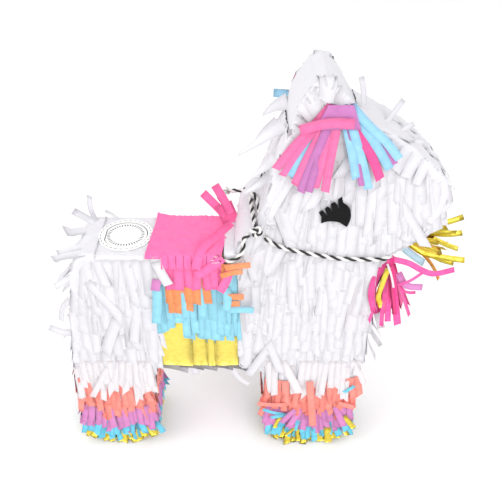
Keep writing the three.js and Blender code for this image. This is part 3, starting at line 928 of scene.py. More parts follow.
# Strips that stand out from the covering, seen singly in the photograph: points, width.
RUMP_STRAYS = [
    ([(-72, -11, 103.5), (-77, -11, 100), (-81.6, -10, 96.2)], 3.0),
    ([(-77, -11, 71), (-82, -10.5, 70), (-88.2, -10, 72.8)], 3.2),
    ([(-65.5, 12, 115.6), (-67, 12.2, 121.5), (-66.6, 12, 128.5)], 3.0),
    ([(-66, 10, 116), (-70, 9.5, 119.6), (-73.8, 9, 122.6)], 3.6),
    ([(-56, 12.6, 116.4), (-58.6, 13.4, 118.2), (-61.4, 14, 119.4)], 1.4),
    ([(-78.6, -4, 84), (-82.6, -4, 79), (-84.4, -4.5, 72)], 3.0),
]
NAPE_STRAYS = [
    ([(14.6, -4, 169), (9.6, -5, 166.0), (3.4, -5.6, 161.4), (-2.6, -6, 157.4)], 6.4),
    ([(11.6, -9, 158), (6.6, -10, 153.6), (2.2, -10.6, 149.6)], 5.6),
    ([(10.4, -8, 150), (5.2, -9, 146.0), (-0.6, -9.6, 142.4)], 5.0),
    ([(12.6, 7, 164), (8.2, 8, 160.6), (4.2, 8.6, 156.4)], 6.4),
    ([(16.4, 10, 172), (11.6, 11, 169.6), (7.0, 12, 165.6)], 7.0),
    ([(9.8, 2, 143), (5.4, 2, 140.4), (1.0, 2, 137.2)], 4.6),
]
BELLY_STRAYS = [
    ([(-4.5, -12, 55), (-6, -12.4, 50), (-3.5, -12.8, 43.5), (1.6, -13, 38.9)], 2.8),
    ([(-25.2, -12, 56), (-24.6, -12.4, 51.5), (-23.2, -12.6, 45.4)], 3.6),
]
CHEST_STRAYS = [([(54, -11, 90), (57, -11.5, 84.9), (60.5, -12, 74.2)], 3.4)]
BROW_STRAYS = [
    ([(43.6, -3, 176), (43.2, -2, 181), (42.2, 0, 185.8)], 2.4),
    ([(52.4, -3, 168.6), (55.6, -1.5, 173), (58.6, 0, 177.0)], 2.2),
    ([(57, -4, 164.6), (60.4, -2, 166.6), (64, 0, 167.4)], 2.0),
    ([(60.5, -6, 161), (64.4, -4, 161.8), (68.4, -2, 160.6)], 2.4),
]


def white_sheaf(region):
    """The start of one region of the white fringe over the edge bands: its CAD skin."""
    sheaf = Sheaf(f"white_{region}_tissue")
    sheaf.backing(f"white_{region}_fringe")
    return sheaf


def finish_white(sheaf, region):
    """Its end, with the mesh in place of that skin's node."""
    sheaf.finish([white_tissue], "body", "white_tissue", [f"white_{region}_fringe"])


def make_rump_edge():
    sheaf = white_sheaf("rump_edge")
    back_paper(sheaf)
    edge_wrap(sheaf, ((-62, 115), (-80, 55)), 8.0)
    edge_rows(sheaf, RUMP_TOP, RUMP_FOOT, 8.5, width=5.4, length=14, flare=(0.4, 2.4), share=0.75)
    free_strips(sheaf, RUMP_STRAYS, facing=(-0.4, -0.8, 0.4))
    finish_white(sheaf, "rump_edge")


def make_belly():
    sheaf = white_sheaf("belly")
    edge_rows(sheaf, (-40, 53), (7, 53), 8.0, length=12, flare=(0.5, 2.0), droop=1.5)
    edge_rows(sheaf, REAR_KNEE, (-44.5, ANKLE_Z + 2), 7.0, length=11)
    edge_rows(sheaf, FRONT_KNEE, (10, ANKLE_Z + 2), 7.0, length=11)
    free_strips(sheaf, BELLY_STRAYS)
    finish_white(sheaf, "belly")


def make_nape():
    sheaf = white_sheaf("nape")
    edge_wrap(sheaf, (NAPE_TOP, (9.2, 131)), 1.0, fullness=0.6)
    edge_wrap(sheaf, (NAPE_FOOT, (-8.5, 115)), 4.0, flap=3.0)
    edge_rows(sheaf, NAPE_TOP, (9.2, 136), 9.5, width=6.5, length=14, flare=(0.2, 0.9), wild=0.04,
              share=0.5, curl=5)
    nape_fall(sheaf)
    free_strips(sheaf, NAPE_STRAYS, facing=(-0.45, -0.7, 0.5), taper=0.15, slant=0.5)
    finish_white(sheaf, "nape")


def make_ear():
    sheaf = white_sheaf("ear")
    edge_wrap(sheaf, (NAPE_TOP, CROWN), 3.0, flap=2.5, fullness=0.12, bulge=ear_bulge, stand=0.12)
    over_edge(sheaf, [EAR_TIP, (18.4, 175.0), (15.6, 164.0)], 4.0, width=7.0, lift=0.1)
    over_edge(sheaf, [EAR_TIP, (37.0, 179.5)], 4.0, width=7.0, lift=0.1)
    finish_white(sheaf, "ear")


def make_face_edge():
    sheaf = white_sheaf("face_edge")
    edge_wrap(sheaf, (CROWN, BROW), 2.0, fullness=0.35)
    over_edge(sheaf, [(43, 172.5), (72, 153)], 4.6, width=5.6)
    edge_wrap(sheaf, (BROW, CHIN), 5.0, flap=3.0)
    smooth = {"width": 6.0, "flare": (0.1, 0.4), "wild": 0.02, "curl": 3, "share": 0.4}
    edge_rows(sheaf, CROWN, BROW, 9.0, length=13, **smooth)
    edge_rows(sheaf, BROW, CHIN, 8.0, length=12, **smooth)
    edge_rows(sheaf, CHIN, THROAT, 6.5, width=5.0, length=10, flare=(0.3, 1.0))
    free_strips(sheaf, BROW_STRAYS, facing=(0.3, -0.7, 0.6))
    finish_white(sheaf, "face_edge")


def make_chest():
    sheaf = white_sheaf("chest")
    edge_rows(sheaf, CHEST_TOP, CHEST_FOOT, 8.5, length=14, flare=(0.4, 2.0))
    free_strips(sheaf, CHEST_STRAYS)
    finish_white(sheaf, "chest")


# Sections of the tissue that hangs from the nape over the shoulder: under the twine, and over its tail.
FALL_UNDER = [(10.0, 139.5), (7.8, 133.0), (3.6, 127.0), (-0.4, 123.0), (-2.6, 117.6)]
FALL_OVER = [(10.4, 140.0), (6.5, 136.6), (2.4, 134.4), (-1.4, 129.8), (-3.4, 121.0)]


FALL_ROWS, FALL_COLUMNS = 26, 48


def nape_fall(sheaf):
    """The tissue between those sections, lifted on the left, where the twine's tail is under it."""
    under, over = (smooth_route([(x, 0, z) for x, z in points], 0.2) for points in (FALL_UNDER, FALL_OVER))
    grid = []
    for t in np.linspace(0, 1, FALL_ROWS):
        low = under[int(t * (len(under) - 1))]
        high = over[int(t * (len(over) - 1))]
        row = []
        for y in np.linspace(-SKIN_Y - 0.9, SKIN_Y + 1.2, FALL_COLUMNS):
            share = min(1.0, max(0.0, (y - 7.5) / 3.0))
            share = share * share * (3 - 2 * share)
            point = low + (high - low) * share
            wave = 0.35 * ripple(t * 20, y, 2.0, 0.3) * (1 if t < 0.9 else 2.5)
            row.append((point[0] - 0.7 * wave, y, point[2] + 0.7 * wave))
        grid.append(row)
    cloth(sheaf, np.array(grid))


# ---- sheets ---------------------------------------------------------------------------------


def cloth(sheaf, grid, keep=None, tone=1.0, mat=0):
    """A thin closed sheet over a grid of points, without the cells that keep leaves out."""
    rows, cols = grid.shape[:2]
    along = np.gradient(grid, axis=0)
    across = np.gradient(grid, axis=1)
    normal = np.cross(along, across)
    normal /= np.linalg.norm(normal, axis=2)[:, :, None] + 1e-9
    top = (grid + normal * TISSUE / 2).reshape(-1, 3)
    under = (grid - normal * TISSUE / 2).reshape(-1, 3)
    count = rows * cols
    cells = [(i, j) for i in range(rows - 1) for j in range(cols - 1) if keep is None or keep[i, j]]
    faces, edges = [], set()
    for i, j in cells:
        ring = (i * cols + j, (i + 1) * cols + j, (i + 1) * cols + j + 1, i * cols + j + 1)
        faces += [ring, tuple(count + k for k in reversed(ring))]
        edges.update(zip(ring, ring[1:] + ring[:1]))
    sharp = [False] * len(faces)
    for a, b in edges:
        if (b, a) not in edges:
            faces.append((b, a, count + a, count + b))
            sharp.append(True)
    used = sorted({i for face in faces for i in face})
    order = {old: new for new, old in enumerate(used)}
    faces = [tuple(order[i] for i in face) for face in faces]
    verts = np.concatenate([top, under])[used]
    sheaf.add(verts, faces, mat, sharp, tone, verts.copy())


def ripple(x, y, seed, scale=0.16):
    """Smooth waves between about -1 and 1 that don't repeat."""
    return (math.sin(x * scale * 2.1 + seed) * math.cos(y * scale * 1.7 - seed * 1.3)
            + 0.6 * math.sin((x + y) * scale * 3.3 + seed * 2.1)
            + 0.4 * math.cos((x - 1.4 * y) * scale * 5.9 + seed * 0.7)) / 2


def draped_section(side, top, bend, first, count, hang):
    """A sheet's section across the back as points (Y, Z): level, bent round both edges, then hanging.

    Side and top are where it runs, first is the angle at which each bend starts, count the number of
    points in its level part, and hang the points below the bend on the left.
    """
    edge = [(side - bend + bend * math.sin(a), top - bend + bend * math.cos(a))
            for a in np.linspace(first, math.pi / 2, 6)] + hang
    level = [(y, top) for y in np.linspace(-side + bend, side - bend, count)]
    return [(-y, z) for y, z in edge[::-1]] + level + edge


HOLE_RADIUS = 9.9  # of the hole in the paper over the fill hole


def back_paper(sheaf):
    """The smooth paper over the back, bent down over both sides, with the fill hole left open."""
    side, top, bend = SKIN_Y + 0.45, BACK_Z + 1.12, 1.8
    section = draped_section(side, top, bend, 0.2, 52, [(side - 0.25, top - bend - 0.9)])
    grid = []
    for x in np.linspace(-65.0, SADDLE_REAR + 6.5, 64):
        row = []
        for k, (y, z) in enumerate(section):
            low = min(k, len(section) - 1 - k)
            hem = 0.7 * ripple(x, y, 5.0, 0.5) * (low == 0)
            row.append((x, y * (1 + 0.008 * ripple(x, z, 1.0, 0.4)), z + hem + 0.2 * ripple(x, y, 2.0, 0.3)))
        grid.append(row)
    grid = np.array(grid)
    hole = fill_centre()
    middle = (grid[:-1, :-1] + grid[1:, 1:]) / 2
    keep = np.hypot(middle[:, :, 0] - hole[0], middle[:, :, 1] - hole[1]) > HOLE_RADIUS
    cloth(sheaf, grid, keep)


WRAP_CORNER, WRAP_SIDE = 0.82, 0.9  # shares of a wrap's half-width where its corner and its flap begin
WRAP_COLUMNS = 49


def edge_wrap(sheaf, stops, seed, flap=4.0, fullness=0.4, bulge=None, stand=0.32):
    """One rippled sheet of tissue over the edge bands between two corners, folded onto both flat sides.

    Fullness is the height of its ripples, stand is how far off the skin they start, and bulge gives
    what it stands off besides, along its way.
    """
    indexes, heading = profile.run(*stops, 1.0)
    indexes = [(indexes[0] - 2 * heading) % profile.count] + indexes + [profile.nearest(*stops[1])]
    tip = profile.nearest(*EAR_TIP)
    bases, aways, offsets = [], [], []
    for n, index in enumerate(indexes):
        ring = abs((index - tip + profile.count // 2) % profile.count - profile.count // 2) * profile.STEP
        depth = min(flap, 0.8 + 0.4 * ring)
        (px, pz), (nx, nz) = profile.points[index], profile.normals[index]
        swell = bulge(n / (len(indexes) - 1)) if bulge else 0.0
        for v in np.linspace(-1, 1, WRAP_COLUMNS):
            sign = math.copysign(1, v)
            corner = min(1.0, max(0.0, (abs(v) - WRAP_CORNER) / (WRAP_SIDE - WRAP_CORNER))) * math.pi / 2
            down = max(0.0, (abs(v) - WRAP_SIDE) / (1 - WRAP_SIDE))
            wave = ripple(n, v * SKIN_Y, seed, 0.24)
            inward = down * depth * (1 + 0.35 * ripple(n, sign * 7, seed + 1, 0.5))
            out = SKIN_EDGE * math.cos(corner) - inward
            y = min(abs(v) / WRAP_CORNER, 1.0) * (SKIN_Y - 0.8) + 0.8 * math.sin(corner)
            bases.append((px + nx * out, sign * y, pz + nz * out))
            aways.append((nx * math.cos(corner), sign * math.sin(corner), nz * math.cos(corner)))
            height = stand + fullness * (wave + 1) + swell * (0.7 + 0.3 * v)
            offsets.append(0.03 + height * (1 - down) ** 2)
    bases, aways = np.array(bases), np.array(aways)
    offsets = pressed(bases, np.array(offsets))
    grid = (bases + aways * offsets[:, None]).reshape(len(indexes), WRAP_COLUMNS, 3)
    cloth(sheaf, grid)


def fill_centre():
    """The middle of the fill hole, in design millimetres."""
    low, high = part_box("fill_sticker_ring")
    return from_frame([(low + high) / 2])[0]


# ---- saddle ---------------------------------------------------------------------------------

SADDLE_SEED = 4.0
SHEET_DROP = 4.6  # how far the pink sheet hangs down each side, its fringed hem included
SHEET_LIFT = 1.55  # of the sheet above the card's top face
SLIT_PITCH = 17  # grid columns from slit to slit in the hem
SHEET_COLUMNS = 170
HEM_ROWS = 8  # rows of the grid at each side that the slits run through


def make_saddle_sheet():
    """The plain pink tissue over the back, with a slit hem down each side."""
    sheaf = Sheaf("saddle_cloth")
    side = SKIN_Y + 1.35
    top = BACK_Z + SHEET_LIFT
    bend = 1.5
    hang = [(side + 0.2 * k, top - bend - SHEET_DROP * k / 4) for k in (1, 2, 3, 4)]
    section = draped_section(side, top, bend, 0.25, 24, hang)
    grid = []
    for share in np.linspace(0, 1, SHEET_COLUMNS):
        row = []
        for k, (y, z) in enumerate(section):
            low = min(k, len(section) - 1 - k)
            over = max(0.0, 1 - abs(y) / side)
            towards_right = 0.5 - y / side / 2
            rear = SADDLE_REAR + 0.2 - 2.4 * towards_right
            front = SADDLE_FRONT - 2.6 - 3.8 * towards_right
            x = rear + (front - rear) * share
            wave = ripple(x, y, SADDLE_SEED, 0.2)
            hem = 0.5 * ripple(x, y, 9.0, 1.3) * (low == 0)
            fold = 0.35 * math.exp(-((y + 3) / 0.8) ** 2)
            far = min(1.0, max(0.0, (y - 9) / 5)) * (low > 4)
            fold += far * (1.6 * (1 - share) ** 8 + 0.5 * abs(ripple(x, 0, 7.0, 0.5)))
            spread = 1 + 0.01 * wave + 0.02 * ripple(x, 0, 3.0, 1.1) * max(0, 3 - low) / 3
            row.append((x, y * spread, z + hem + fold + 0.3 * (wave + 1) * min(1, over * 4)))
        grid.append(row)
    grid = np.array(grid)
    keep = np.ones((grid.shape[0] - 1, grid.shape[1] - 1), bool)
    slits = np.arange(SLIT_PITCH, SHEET_COLUMNS - 1, SLIT_PITCH)
    hem_rows = [*range(HEM_ROWS), *range(keep.shape[1] - HEM_ROWS, keep.shape[1])]
    keep[np.ix_(slits, hem_rows)] = False
    keep[:2 * SLIT_PITCH, :4] = False  # no hem at the rear corner on the right
    cloth(sheaf, grid, keep)
    sheet = sheaf.finish([pink_tissue], "body", "pink_tissue", ["saddle_sheet"])


def tip_row(sheaf, side, x_range, root, tip_at, width, lift, flare):
    """A row of strips on a flat side, each reaching the height that tip_at gives for its place."""
    rng = sheaf.rng
    x = x_range[0]
    while x < x_range[1] - width * 0.3:
        w = min(width * rng.uniform(0.88, 1.1), x_range[1] - x + 0.4)
        centre = x + w / 2
        tip = tip_at(centre)
        if tip is not None:
            flank_strip(sheaf, side, centre, root, root - tip, w, lean=rng.gauss(0, 2.5),
                        sway=rng.gauss(0, 0.3), lift=lift, flare=rng.uniform(*flare), twist=rng.gauss(0, 8),
                        tone=rng.gauss(1.0, 0.03), slant=rng.gauss(0, 0.3))
        x += w


TOWARDS_VIEW = (0, -0.81, 0.59)
# Strips of the saddle that stand out singly on the right: points, width.
PINK_STRAYS = [
    ([(-5.6, 8, 117), (-7.6, 8, 122), (-9.3, 8, 127)], 7.4),
    ([(-6.2, 7.9, 122), (-8.4, 8, 127.5), (-12.6, 8, 136)], 3.6),
    ([(-8.4, 7.8, 121), (-12.4, 7.8, 126), (-17.7, 8, 132.2)], 3.6),
    ([(-7.2, 8.1, 123), (-8.2, 8.1, 126.5), (-10.6, 8.1, 131)], 3.4),
    ([(-5.5, 6, 118), (-12, -4, 118.2), (-17.4, -12.6, 118.1), (-19.4, -16.4, 114.4), (-20, -17, 111)], 3.8),
    ([(-9, -15.8, 116), (-14.6, -17, 111.5), (-20.5, -17.2, 107.5)], 3.6),
    ([(-6, -16.6, 112), (-7.5, -17.2, 106), (-10.5, -17.4, 99.6)], 3.6),
]
ORANGE_STRAYS = [
    ([(-8.2, -17.2, 111.8), (-3, -17.6, 113.2), (2.2, -17.4, 113.6)], 3.0),
    ([(-10, -17.0, 107.5), (-5.5, -17.4, 109.5), (-1, -17.3, 110.2)], 2.6),
    ([(-8.0, -15.6, 114), (-8.2, -16.3, 107), (-8.6, -16.6, 101.4)], 3.5),
    ([(-8.8, -16.6, 95.8), (-4.6, -17, 96.6), (-0.6, -17, 96.4)], 3.4),
    ([(-9.6, -16.7, 91.4), (-6, -17, 92.6), (-2.4, -17, 92.8)], 3.2),
]
BLUE_STRAYS = [
    ([(-5.2, -15.3, 113), (-5.2, -15.7, 104), (-5.4, -15.9, 94)], 3.8),
    ([(-7, -16.6, 88.6), (-2, -17.2, 89.6), (3.6, -17, 89.0)], 3.4),
    ([(-36.7, -16, 101.2), (-37.4, -16.8, 92), (-38.6, -17, 81.5)], 4.0),
    ([(-8, -16.4, 101), (-7.4, -17, 95), (-8.4, -17.2, 89)], 3.6),
]
WHITE_STRAYS = [
    ([(-35.8, -15.0, 116), (-35.6, -15.3, 110), (-35.4, -15.4, 102)], 5.6),
    ([(-36.4, -15.6, 113.5), (-34.2, -16.2, 108), (-31.8, -16.5, 102.4)], 4.2),
]
LILAC_STRAYS = [([(-36.6, -15.9, 105), (-37, -16.6, 102.6), (-37.6, -16.9, 99.8)], 3.8)]
SADDLE_ENDS = (SADDLE_REAR + 0.2, SADDLE_FRONT - 0.2)


def gold_row(side_name, side):
    """Wide strips of foil down to the hem."""
    sheaf = Sheaf(f"saddle_gold_foil_{side_name}")
    rng = sheaf.rng
    sheaf.backing(f"saddle_gold_row_{side_name}")
    inner_cuts = (-24.0, -17.2, -13.6) if side < 0 else (-30.0, -21.0, -10.5)
    cuts = [SADDLE_ENDS[0], *inner_cuts, SADDLE_ENDS[1]]
    for a, b in zip(cuts, cuts[1:]):
        flank_strip(sheaf, side, (a + b) / 2, 84, 30.5 + rng.uniform(-0.4, 0.4), b - a - 0.5, lift=0.12,
                    flare=rng.uniform(0.3, 0.9), twist=rng.gauss(0, 2), lean=rng.gauss(0, 0.6),
                    tone=rng.gauss(1, 0.04))
    sheaf.finish([saddle_foil], "body", "gold_foil", [f"saddle_gold_row_{side_name}"])


def blue_row(side_name, side):
    """Three layers of strips, the lowest with a slanting notch."""
    sheaf = Sheaf(f"saddle_blue_tissue_{side_name}")
    rng = sheaf.rng
    sheaf.backing(f"saddle_blue_row_{side_name}")
    notch = (-38, -27) if side < 0 else (-14, -3)

    def lower_tip(x):
        if notch[0] <= x <= notch[1]:
            return 72.5 + 9.5 * (x - notch[0]) / (notch[1] - notch[0])
        return 69.5 + rng.uniform(-1.2, 1.2)

    tip_row(sheaf, side, SADDLE_ENDS, 93, lower_tip, 3.7, 0.4, (0.3, 0.7))
    tip_row(sheaf, side, SADDLE_ENDS, 94, lambda x: lower_tip(x) + rng.uniform(0.5, 4), 3.7, 0.5, (0.3, 0.8))
    tip_row(sheaf, side, SADDLE_ENDS, 104, lambda x: 82 + rng.uniform(-2.5, 2.5), 3.7, 0.6, (0.2, 0.6))
    if side < 0:
        free_strips(sheaf, BLUE_STRAYS)
    sheaf.finish([blue_tissue], "body", "blue_tissue", [f"saddle_blue_row_{side_name}"])


def orange_row(side_name, side):
    """Two layers of strips, on the right over part of the saddle's length only."""
    sheaf = Sheaf(f"saddle_orange_tissue_{side_name}")
    rng = sheaf.rng
    sheaf.backing(f"saddle_orange_row_{side_name}")
    ends = (-33.5, -15.5) if side < 0 else SADDLE_ENDS
    tip_row(sheaf, side, ends, 105, lambda x: 91 + rng.uniform(-0.6, 0.6), 3.6, 0.85, (0.2, 0.5))
    tip_row(sheaf, side, (ends[0] + 0.5, ends[1] - 4), 104,
            lambda x: 86.5 + rng.uniform(-1, 1) if rng.random() < 0.8 else None, 3.6, 0.75, (0.4, 0.6))
    if side < 0:
        free_strips(sheaf, ORANGE_STRAYS)
    sheaf.finish([orange_tissue], "body", "orange_tissue", [f"saddle_orange_row_{side_name}"])


def pink_row(side_name, side):
    """Two layers of strips under the hem of the sheet, with lilac and white ones on the right."""
    sheaf = Sheaf(f"saddle_pink_tissue_{side_name}")
    rng = sheaf.rng
    sheaf.backing(f"saddle_pink_row_{side_name}", mat=0 if side > 0 else 2)
    ends = (-33.2, -9.6) if side < 0 else SADDLE_ENDS
    tip_row(sheaf, side, ends, 112, lambda x: 99.2 + rng.uniform(-0.8, 0.8), 3.7, 1.15, (0.2, 0.7))
    if side < 0:
        free_strips(sheaf, LILAC_STRAYS, mat=1)
        free_strips(sheaf, WHITE_STRAYS, mat=2)
    tip_row(sheaf, side, ends, 112, lambda x: 100.6 + rng.uniform(-1, 1), 3.7, 0.95, (0.2, 0.5))
    if side < 0:
        free_strips(sheaf, PINK_STRAYS, facing=TOWARDS_VIEW)
    colours = [pink_tissue, lilac_tissue, white_tissue]
    sheaf.finish(colours, "body", "pink_tissue", [f"saddle_pink_row_{side_name}"])


def make_saddle_rows():
    for side_name, side in (("right", -1), ("left", 1)):
        for make_row in (gold_row, blue_row, orange_row, pink_row):
            make_row(side_name, side)


# ---- feet -----------------------------------------------------------------------------------

FOOT_SAG = 4.0  # how much higher a foot row is at the corners than in the middle
FOOT_WIDTH = 3.3  # of a strip
FOOT_WILD = 0.12  # share of the strips that stand out
# Rows of a foot: name, material, slot, heights of the roots, length, fan in degrees, flare.
FOOT_ROWS = [
    ("coral", coral_tissue, "coral_tissue", [42.0, 35.5, 30.0], 13.5, 6, (0.2, 0.9)),
    ("lilac", lilac_tissue, "lilac_tissue", [23.0, 19.5], 11.0, 12, (0.6, 2.2)),
    ("turquoise", turquoise_tissue, "turquoise_tissue", [14.5, 11.0], 8.5, 18, (0.9, 2.6)),
    ("gold", gold_foil, "gold_foil", [8.0, 5.5], 6.5, 25, (0.8, 2.6)),
]
# Strips that stand out singly round the front foot: points, width.
FRONT_FOOT_STRAYS = {
    "coral": [
        ([(19.5, -15.6, 27.5), (12.4, -16.6, 28.4), (5.6, -16.9, 29.8)], 2.6),
        ([(44.5, -15.8, 28.5), (49, -16.8, 28), (52.6, -16.6, 26.2)], 3.0),
        ([(29.9, -16.0, 44), (31.3, -17.0, 31), (33, -17.4, 14)], 3.4),
    ],
    "lilac": [([(24, -16, 24), (20, -17.4, 20.4), (17.6, -17.6, 16.4)], 2.8)],
    "turquoise": [
        ([(18.6, -15.8, 20.6), (12.8, -16.8, 23.2), (8.3, -17, 25.7)], 2.0),
        ([(20.4, -15.8, 20.2), (16, -16.8, 20.4), (12.2, -17, 19.6)], 2.2),
        ([(46, -15.4, 35.5), (49.2, -16.2, 39), (51, -16.4, 41.6)], 1.8),
    ],
    "gold": [
        ([(17.6, -15.6, 19), (15, -16.6, 16), (14.3, -16.8, 11.6)], 2.0),
        ([(24, -15.8, 10.2), (21.6, -16.8, 8), (19.3, -17, 6)], 1.6),
        ([(48, -15.6, 19), (51, -16.6, 15.4), (53.6, -16.8, 11.4)], 2.8),
        ([(40.4, -16, 11), (40.9, -17.2, 6.4), (41.4, -17.6, 1.4)], 3.6),
    ],
}


def level_ends(foot, z):
    """Where the outline crosses a height at a foot: its rear and its front end."""
    points, ahead = profile.points, np.roll(profile.points, -1, axis=0)
    crosses = (points[:, 1] - z) * (ahead[:, 1] - z) < 0
    xs = sorted(float(x) for x in points[crosses, 0])
    return (xs[0], xs[1]) if foot == "rear" else (xs[2], xs[3])


def foot_ring(sheaf, foot, z, length, fan, flare, lift):
    """A ring of strips round a foot, fanned out on its flat sides and clipped to its sole."""
    rng = sheaf.rng
    rear, front = level_ends(foot, z)
    half = (front - rear) / 2
    middle = (front + rear) / 2
    for side in (-1, 1):
        x = rear + rng.uniform(0, 0.5)
        while x < front - 0.6:
            w = FOOT_WIDTH * rng.uniform(0.75, 1.12)
            across = (x + w / 2 - middle) / half
            root = z + FOOT_SAG * across ** 2
            odd = rng.random() < FOOT_WILD
            lean = fan * across + rng.gauss(0, 6) + (rng.uniform(-30, 30) if odd else 0)
            reach = length * rng.gauss(1, 0.14)
            tip_x = x + w / 2 + reach * math.sin(math.radians(lean))
            sole = profile.chords(min(max(tip_x, rear + 1.5), front - 1.5))[0][0]
            reach = min(reach, max(root - sole, 2.5) + rng.uniform(0.3, 1.8))
            flank_strip(sheaf, side, x + w / 2, root, reach, w, lean=lean,
                        sway=rng.gauss(0, 0.6), lift=lift, flare=rng.uniform(*flare) * (1.6 if odd else 1),
                        twist=rng.gauss(0, 14), tone=rng.gauss(1, 0.04), slant=rng.gauss(0, 0.4))
            x += w
    for end_x in (rear, front):
        index = profile.nearest(end_x, z + FOOT_SAG)
        heading = 1 if profile.ways[index][1] < 0 else -1
        y = -SKIN_Y + 0.2
        while y < SKIN_Y - 1.2:
            w = FOOT_WIDTH * rng.uniform(0.8, 1.12)
            edge_strip(sheaf, index, heading, y + w / 2, length * rng.gauss(1, 0.14), w, lean=rng.gauss(0, 8),
                       lift=lift, flare=rng.uniform(*flare) * 0.8, twist=rng.gauss(0, 12),
                       tone=rng.gauss(1, 0.04), slant=rng.gauss(0, 0.4))
            y += w


def make_feet():
    for foot in ("rear", "front"):
        for name, material, slot, heights, length, fan, flare in FOOT_ROWS:
            sheaf = Sheaf(f"{foot}_foot_{name}_strips")
            sheaf.backing(f"{foot}_foot_{name}_row")
            for layers_below, height in zip(range(len(heights) - 1, -1, -1), heights):
                foot_ring(sheaf, foot, height, length, fan, flare, lift=0.25 + 0.3 * layers_below)
            if foot == "front":
                free_strips(sheaf, FRONT_FOOT_STRAYS[name])
            sheaf.finish([material], "body", slot, [f"{foot}_foot_{name}_row"])


# ---- eyes and forelocks ---------------------------------------------------------------------

EYE_THICKNESS = 0.32
EYE_BEVEL = 0.08
# The eye's edge in design X and Z: the curve under the lid, the curve of its front, then its lashes.
EYE_UNDER = [(29.7, 132.3), (31.7, 133.2), (34.0, 133.4), (36.4, 133.0), (38.2, 131.8), (39.9, 130.6)]
EYE_FRONT = [(39.9, 130.6), (40.9, 133.6), (41.0, 136.6), (39.8, 139.9), (37.6, 141.8)]
EYE_LASHES = [
    (36.9, 144.3), (35.4, 143.1), (36.2, 139.2), (34.7, 141.8), (34.2, 142.1), (32.9, 141.1),
    (33.7, 137.9), (32.2, 139.8), (31.7, 140.1), (30.7, 139.1), (31.9, 135.9), (30.1, 138.1),
    (29.7, 138.4), (28.5, 137.3), (29.6, 135.5),
]


def eye_outline():
    """A closed lid seen from the side, with lashes along its upper edge, about its own centre."""
    curves = []
    for points in (EYE_UNDER, EYE_FRONT):
        curves += [(p[0], p[2]) for p in smooth_route([(x, 0, z) for x, z in points], 0.7)][:-1]
    outline = np.array(curves + EYE_FRONT[-1:] + EYE_LASHES) - EYE_CENTRE
    return [tuple(p) for p in outline]


def make_eyes():
    for side_name, side in (("right", -1), ("left", 1)):
        curve = bpy.data.curves.new(f"eye_{side_name}_shape", "CURVE")
        curve.dimensions = "2D"
        curve.fill_mode = "BOTH"
        curve.extrude = EYE_THICKNESS / 2 - EYE_BEVEL
        curve.bevel_depth = EYE_BEVEL
        curve.offset = -EYE_BEVEL
        curve.bevel_resolution = 2
        spline = curve.splines.new("POLY")
        outline = eye_outline()
        spline.points.add(len(outline) - 1)
        for point, (x, z) in zip(spline.points, outline):
            point.co = (x, z, 0, 1)
        spline.use_cyclic_u = True
        maker = bpy.data.objects.new("eye_maker", curve)
        bpy.context.scene.collection.objects.link(maker)
        mesh = bpy.data.meshes.new_from_object(maker.evaluated_get(bpy.context.evaluated_depsgraph_get()))
        bpy.data.objects.remove(maker)
        co = np.array([v.co for v in mesh.vertices])
        bow = 0.5 * np.exp(-((co[:, 0] / 6) ** 2 + (co[:, 1] / 5) ** 2))
        y = side * (SKIN_Y + EYE_LIFT + EYE_THICKNESS / 2 + bow) - co[:, 2]
        placed = to_frame(np.stack([EYE_CENTRE[0] + co[:, 0], y, EYE_CENTRE[1] + co[:, 1]], 1))
        mesh.vertices.foreach_set("co", placed.ravel())
        weld(mesh)
        mesh.materials.clear()
        mesh.materials.append(black_gloss)
        obj = bpy.data.objects.new(f"eye_lid_{side_name}", mesh)
        bpy.context.scene.collection.objects.link(obj)
        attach(obj, "body")
        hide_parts(f"eye_{side_name}")


def weld(mesh):
    """Join the points that lie together, and turn all faces outwards."""
    work = bmesh.new()
    work.from_mesh(mesh)
    bmesh.ops.remove_doubles(work, verts=work.verts, dist=0.00001)
    bmesh.ops.recalc_face_normals(work, faces=work.faces)
    work.to_mesh(mesh)
    work.free()


PINK, LILAC, SKY, ROSE = 0, 1, 2, 3
FORELOCK_TOP_Z = 181.6
# Forelock strips: root X on the glued top edge, tip (X, Z), width, colour, layer.
FORELOCK = [
    (30.0, (11.4, 157.6), 3.3, PINK, 2), (30.6, (13.8, 155.0), 2.6, PINK, 1),
    (31.4, (16.6, 154.6), 3.0, SKY, 0), (31.6, (18.4, 151.0), 3.3, PINK, 2),
    (32.2, (20.8, 148.2), 3.4, LILAC, 3), (32.6, (23.6, 148.4), 3.2, LILAC, 1),
    (33.0, (26.2, 149.6), 3.0, PINK, 2), (33.4, (29.8, 148.6), 3.2, PINK, 3),
    (34.2, (41.0, 153.6), 3.2, SKY, 0), (34.8, (43.4, 150.6), 2.2, LILAC, 1),
    (35.4, (46.2, 149.0), 3.4, SKY, 2), (36.0, (50.0, 153.4), 3.3, ROSE, 1),
    (36.6, (53.0, 157.4), 3.4, SKY, 2), (37.0, (55.8, 162.0), 3.4, SKY, 3),
    (36.8, (54.6, 159.4), 2.6, LILAC, 1),
]
# The strip that is bent across the right one.
CROSS_STRIP = [(38.5, -17.5, 175.4), (31, -17.5, 175.8), (25.5, -17.6, 175.0), (19.4, -17.9, 173.2)]
FORELOCK_LEFT_SHIFT = (-4.5, -5.0)  # the left one sits lower and further back
FAR_LOCK_STRIPS = [
    ([(19.6, 15.9, 171.0), (19.6, 16.0, 176.0), (20.6, 16.2, 179.6), (22.2, 16.4, 181.6)], PINK),
    ([(24, 16.2, 171.8), (17.7, 16.4, 172.4), (11.2, 16.6, 172.8)], SKY),
]


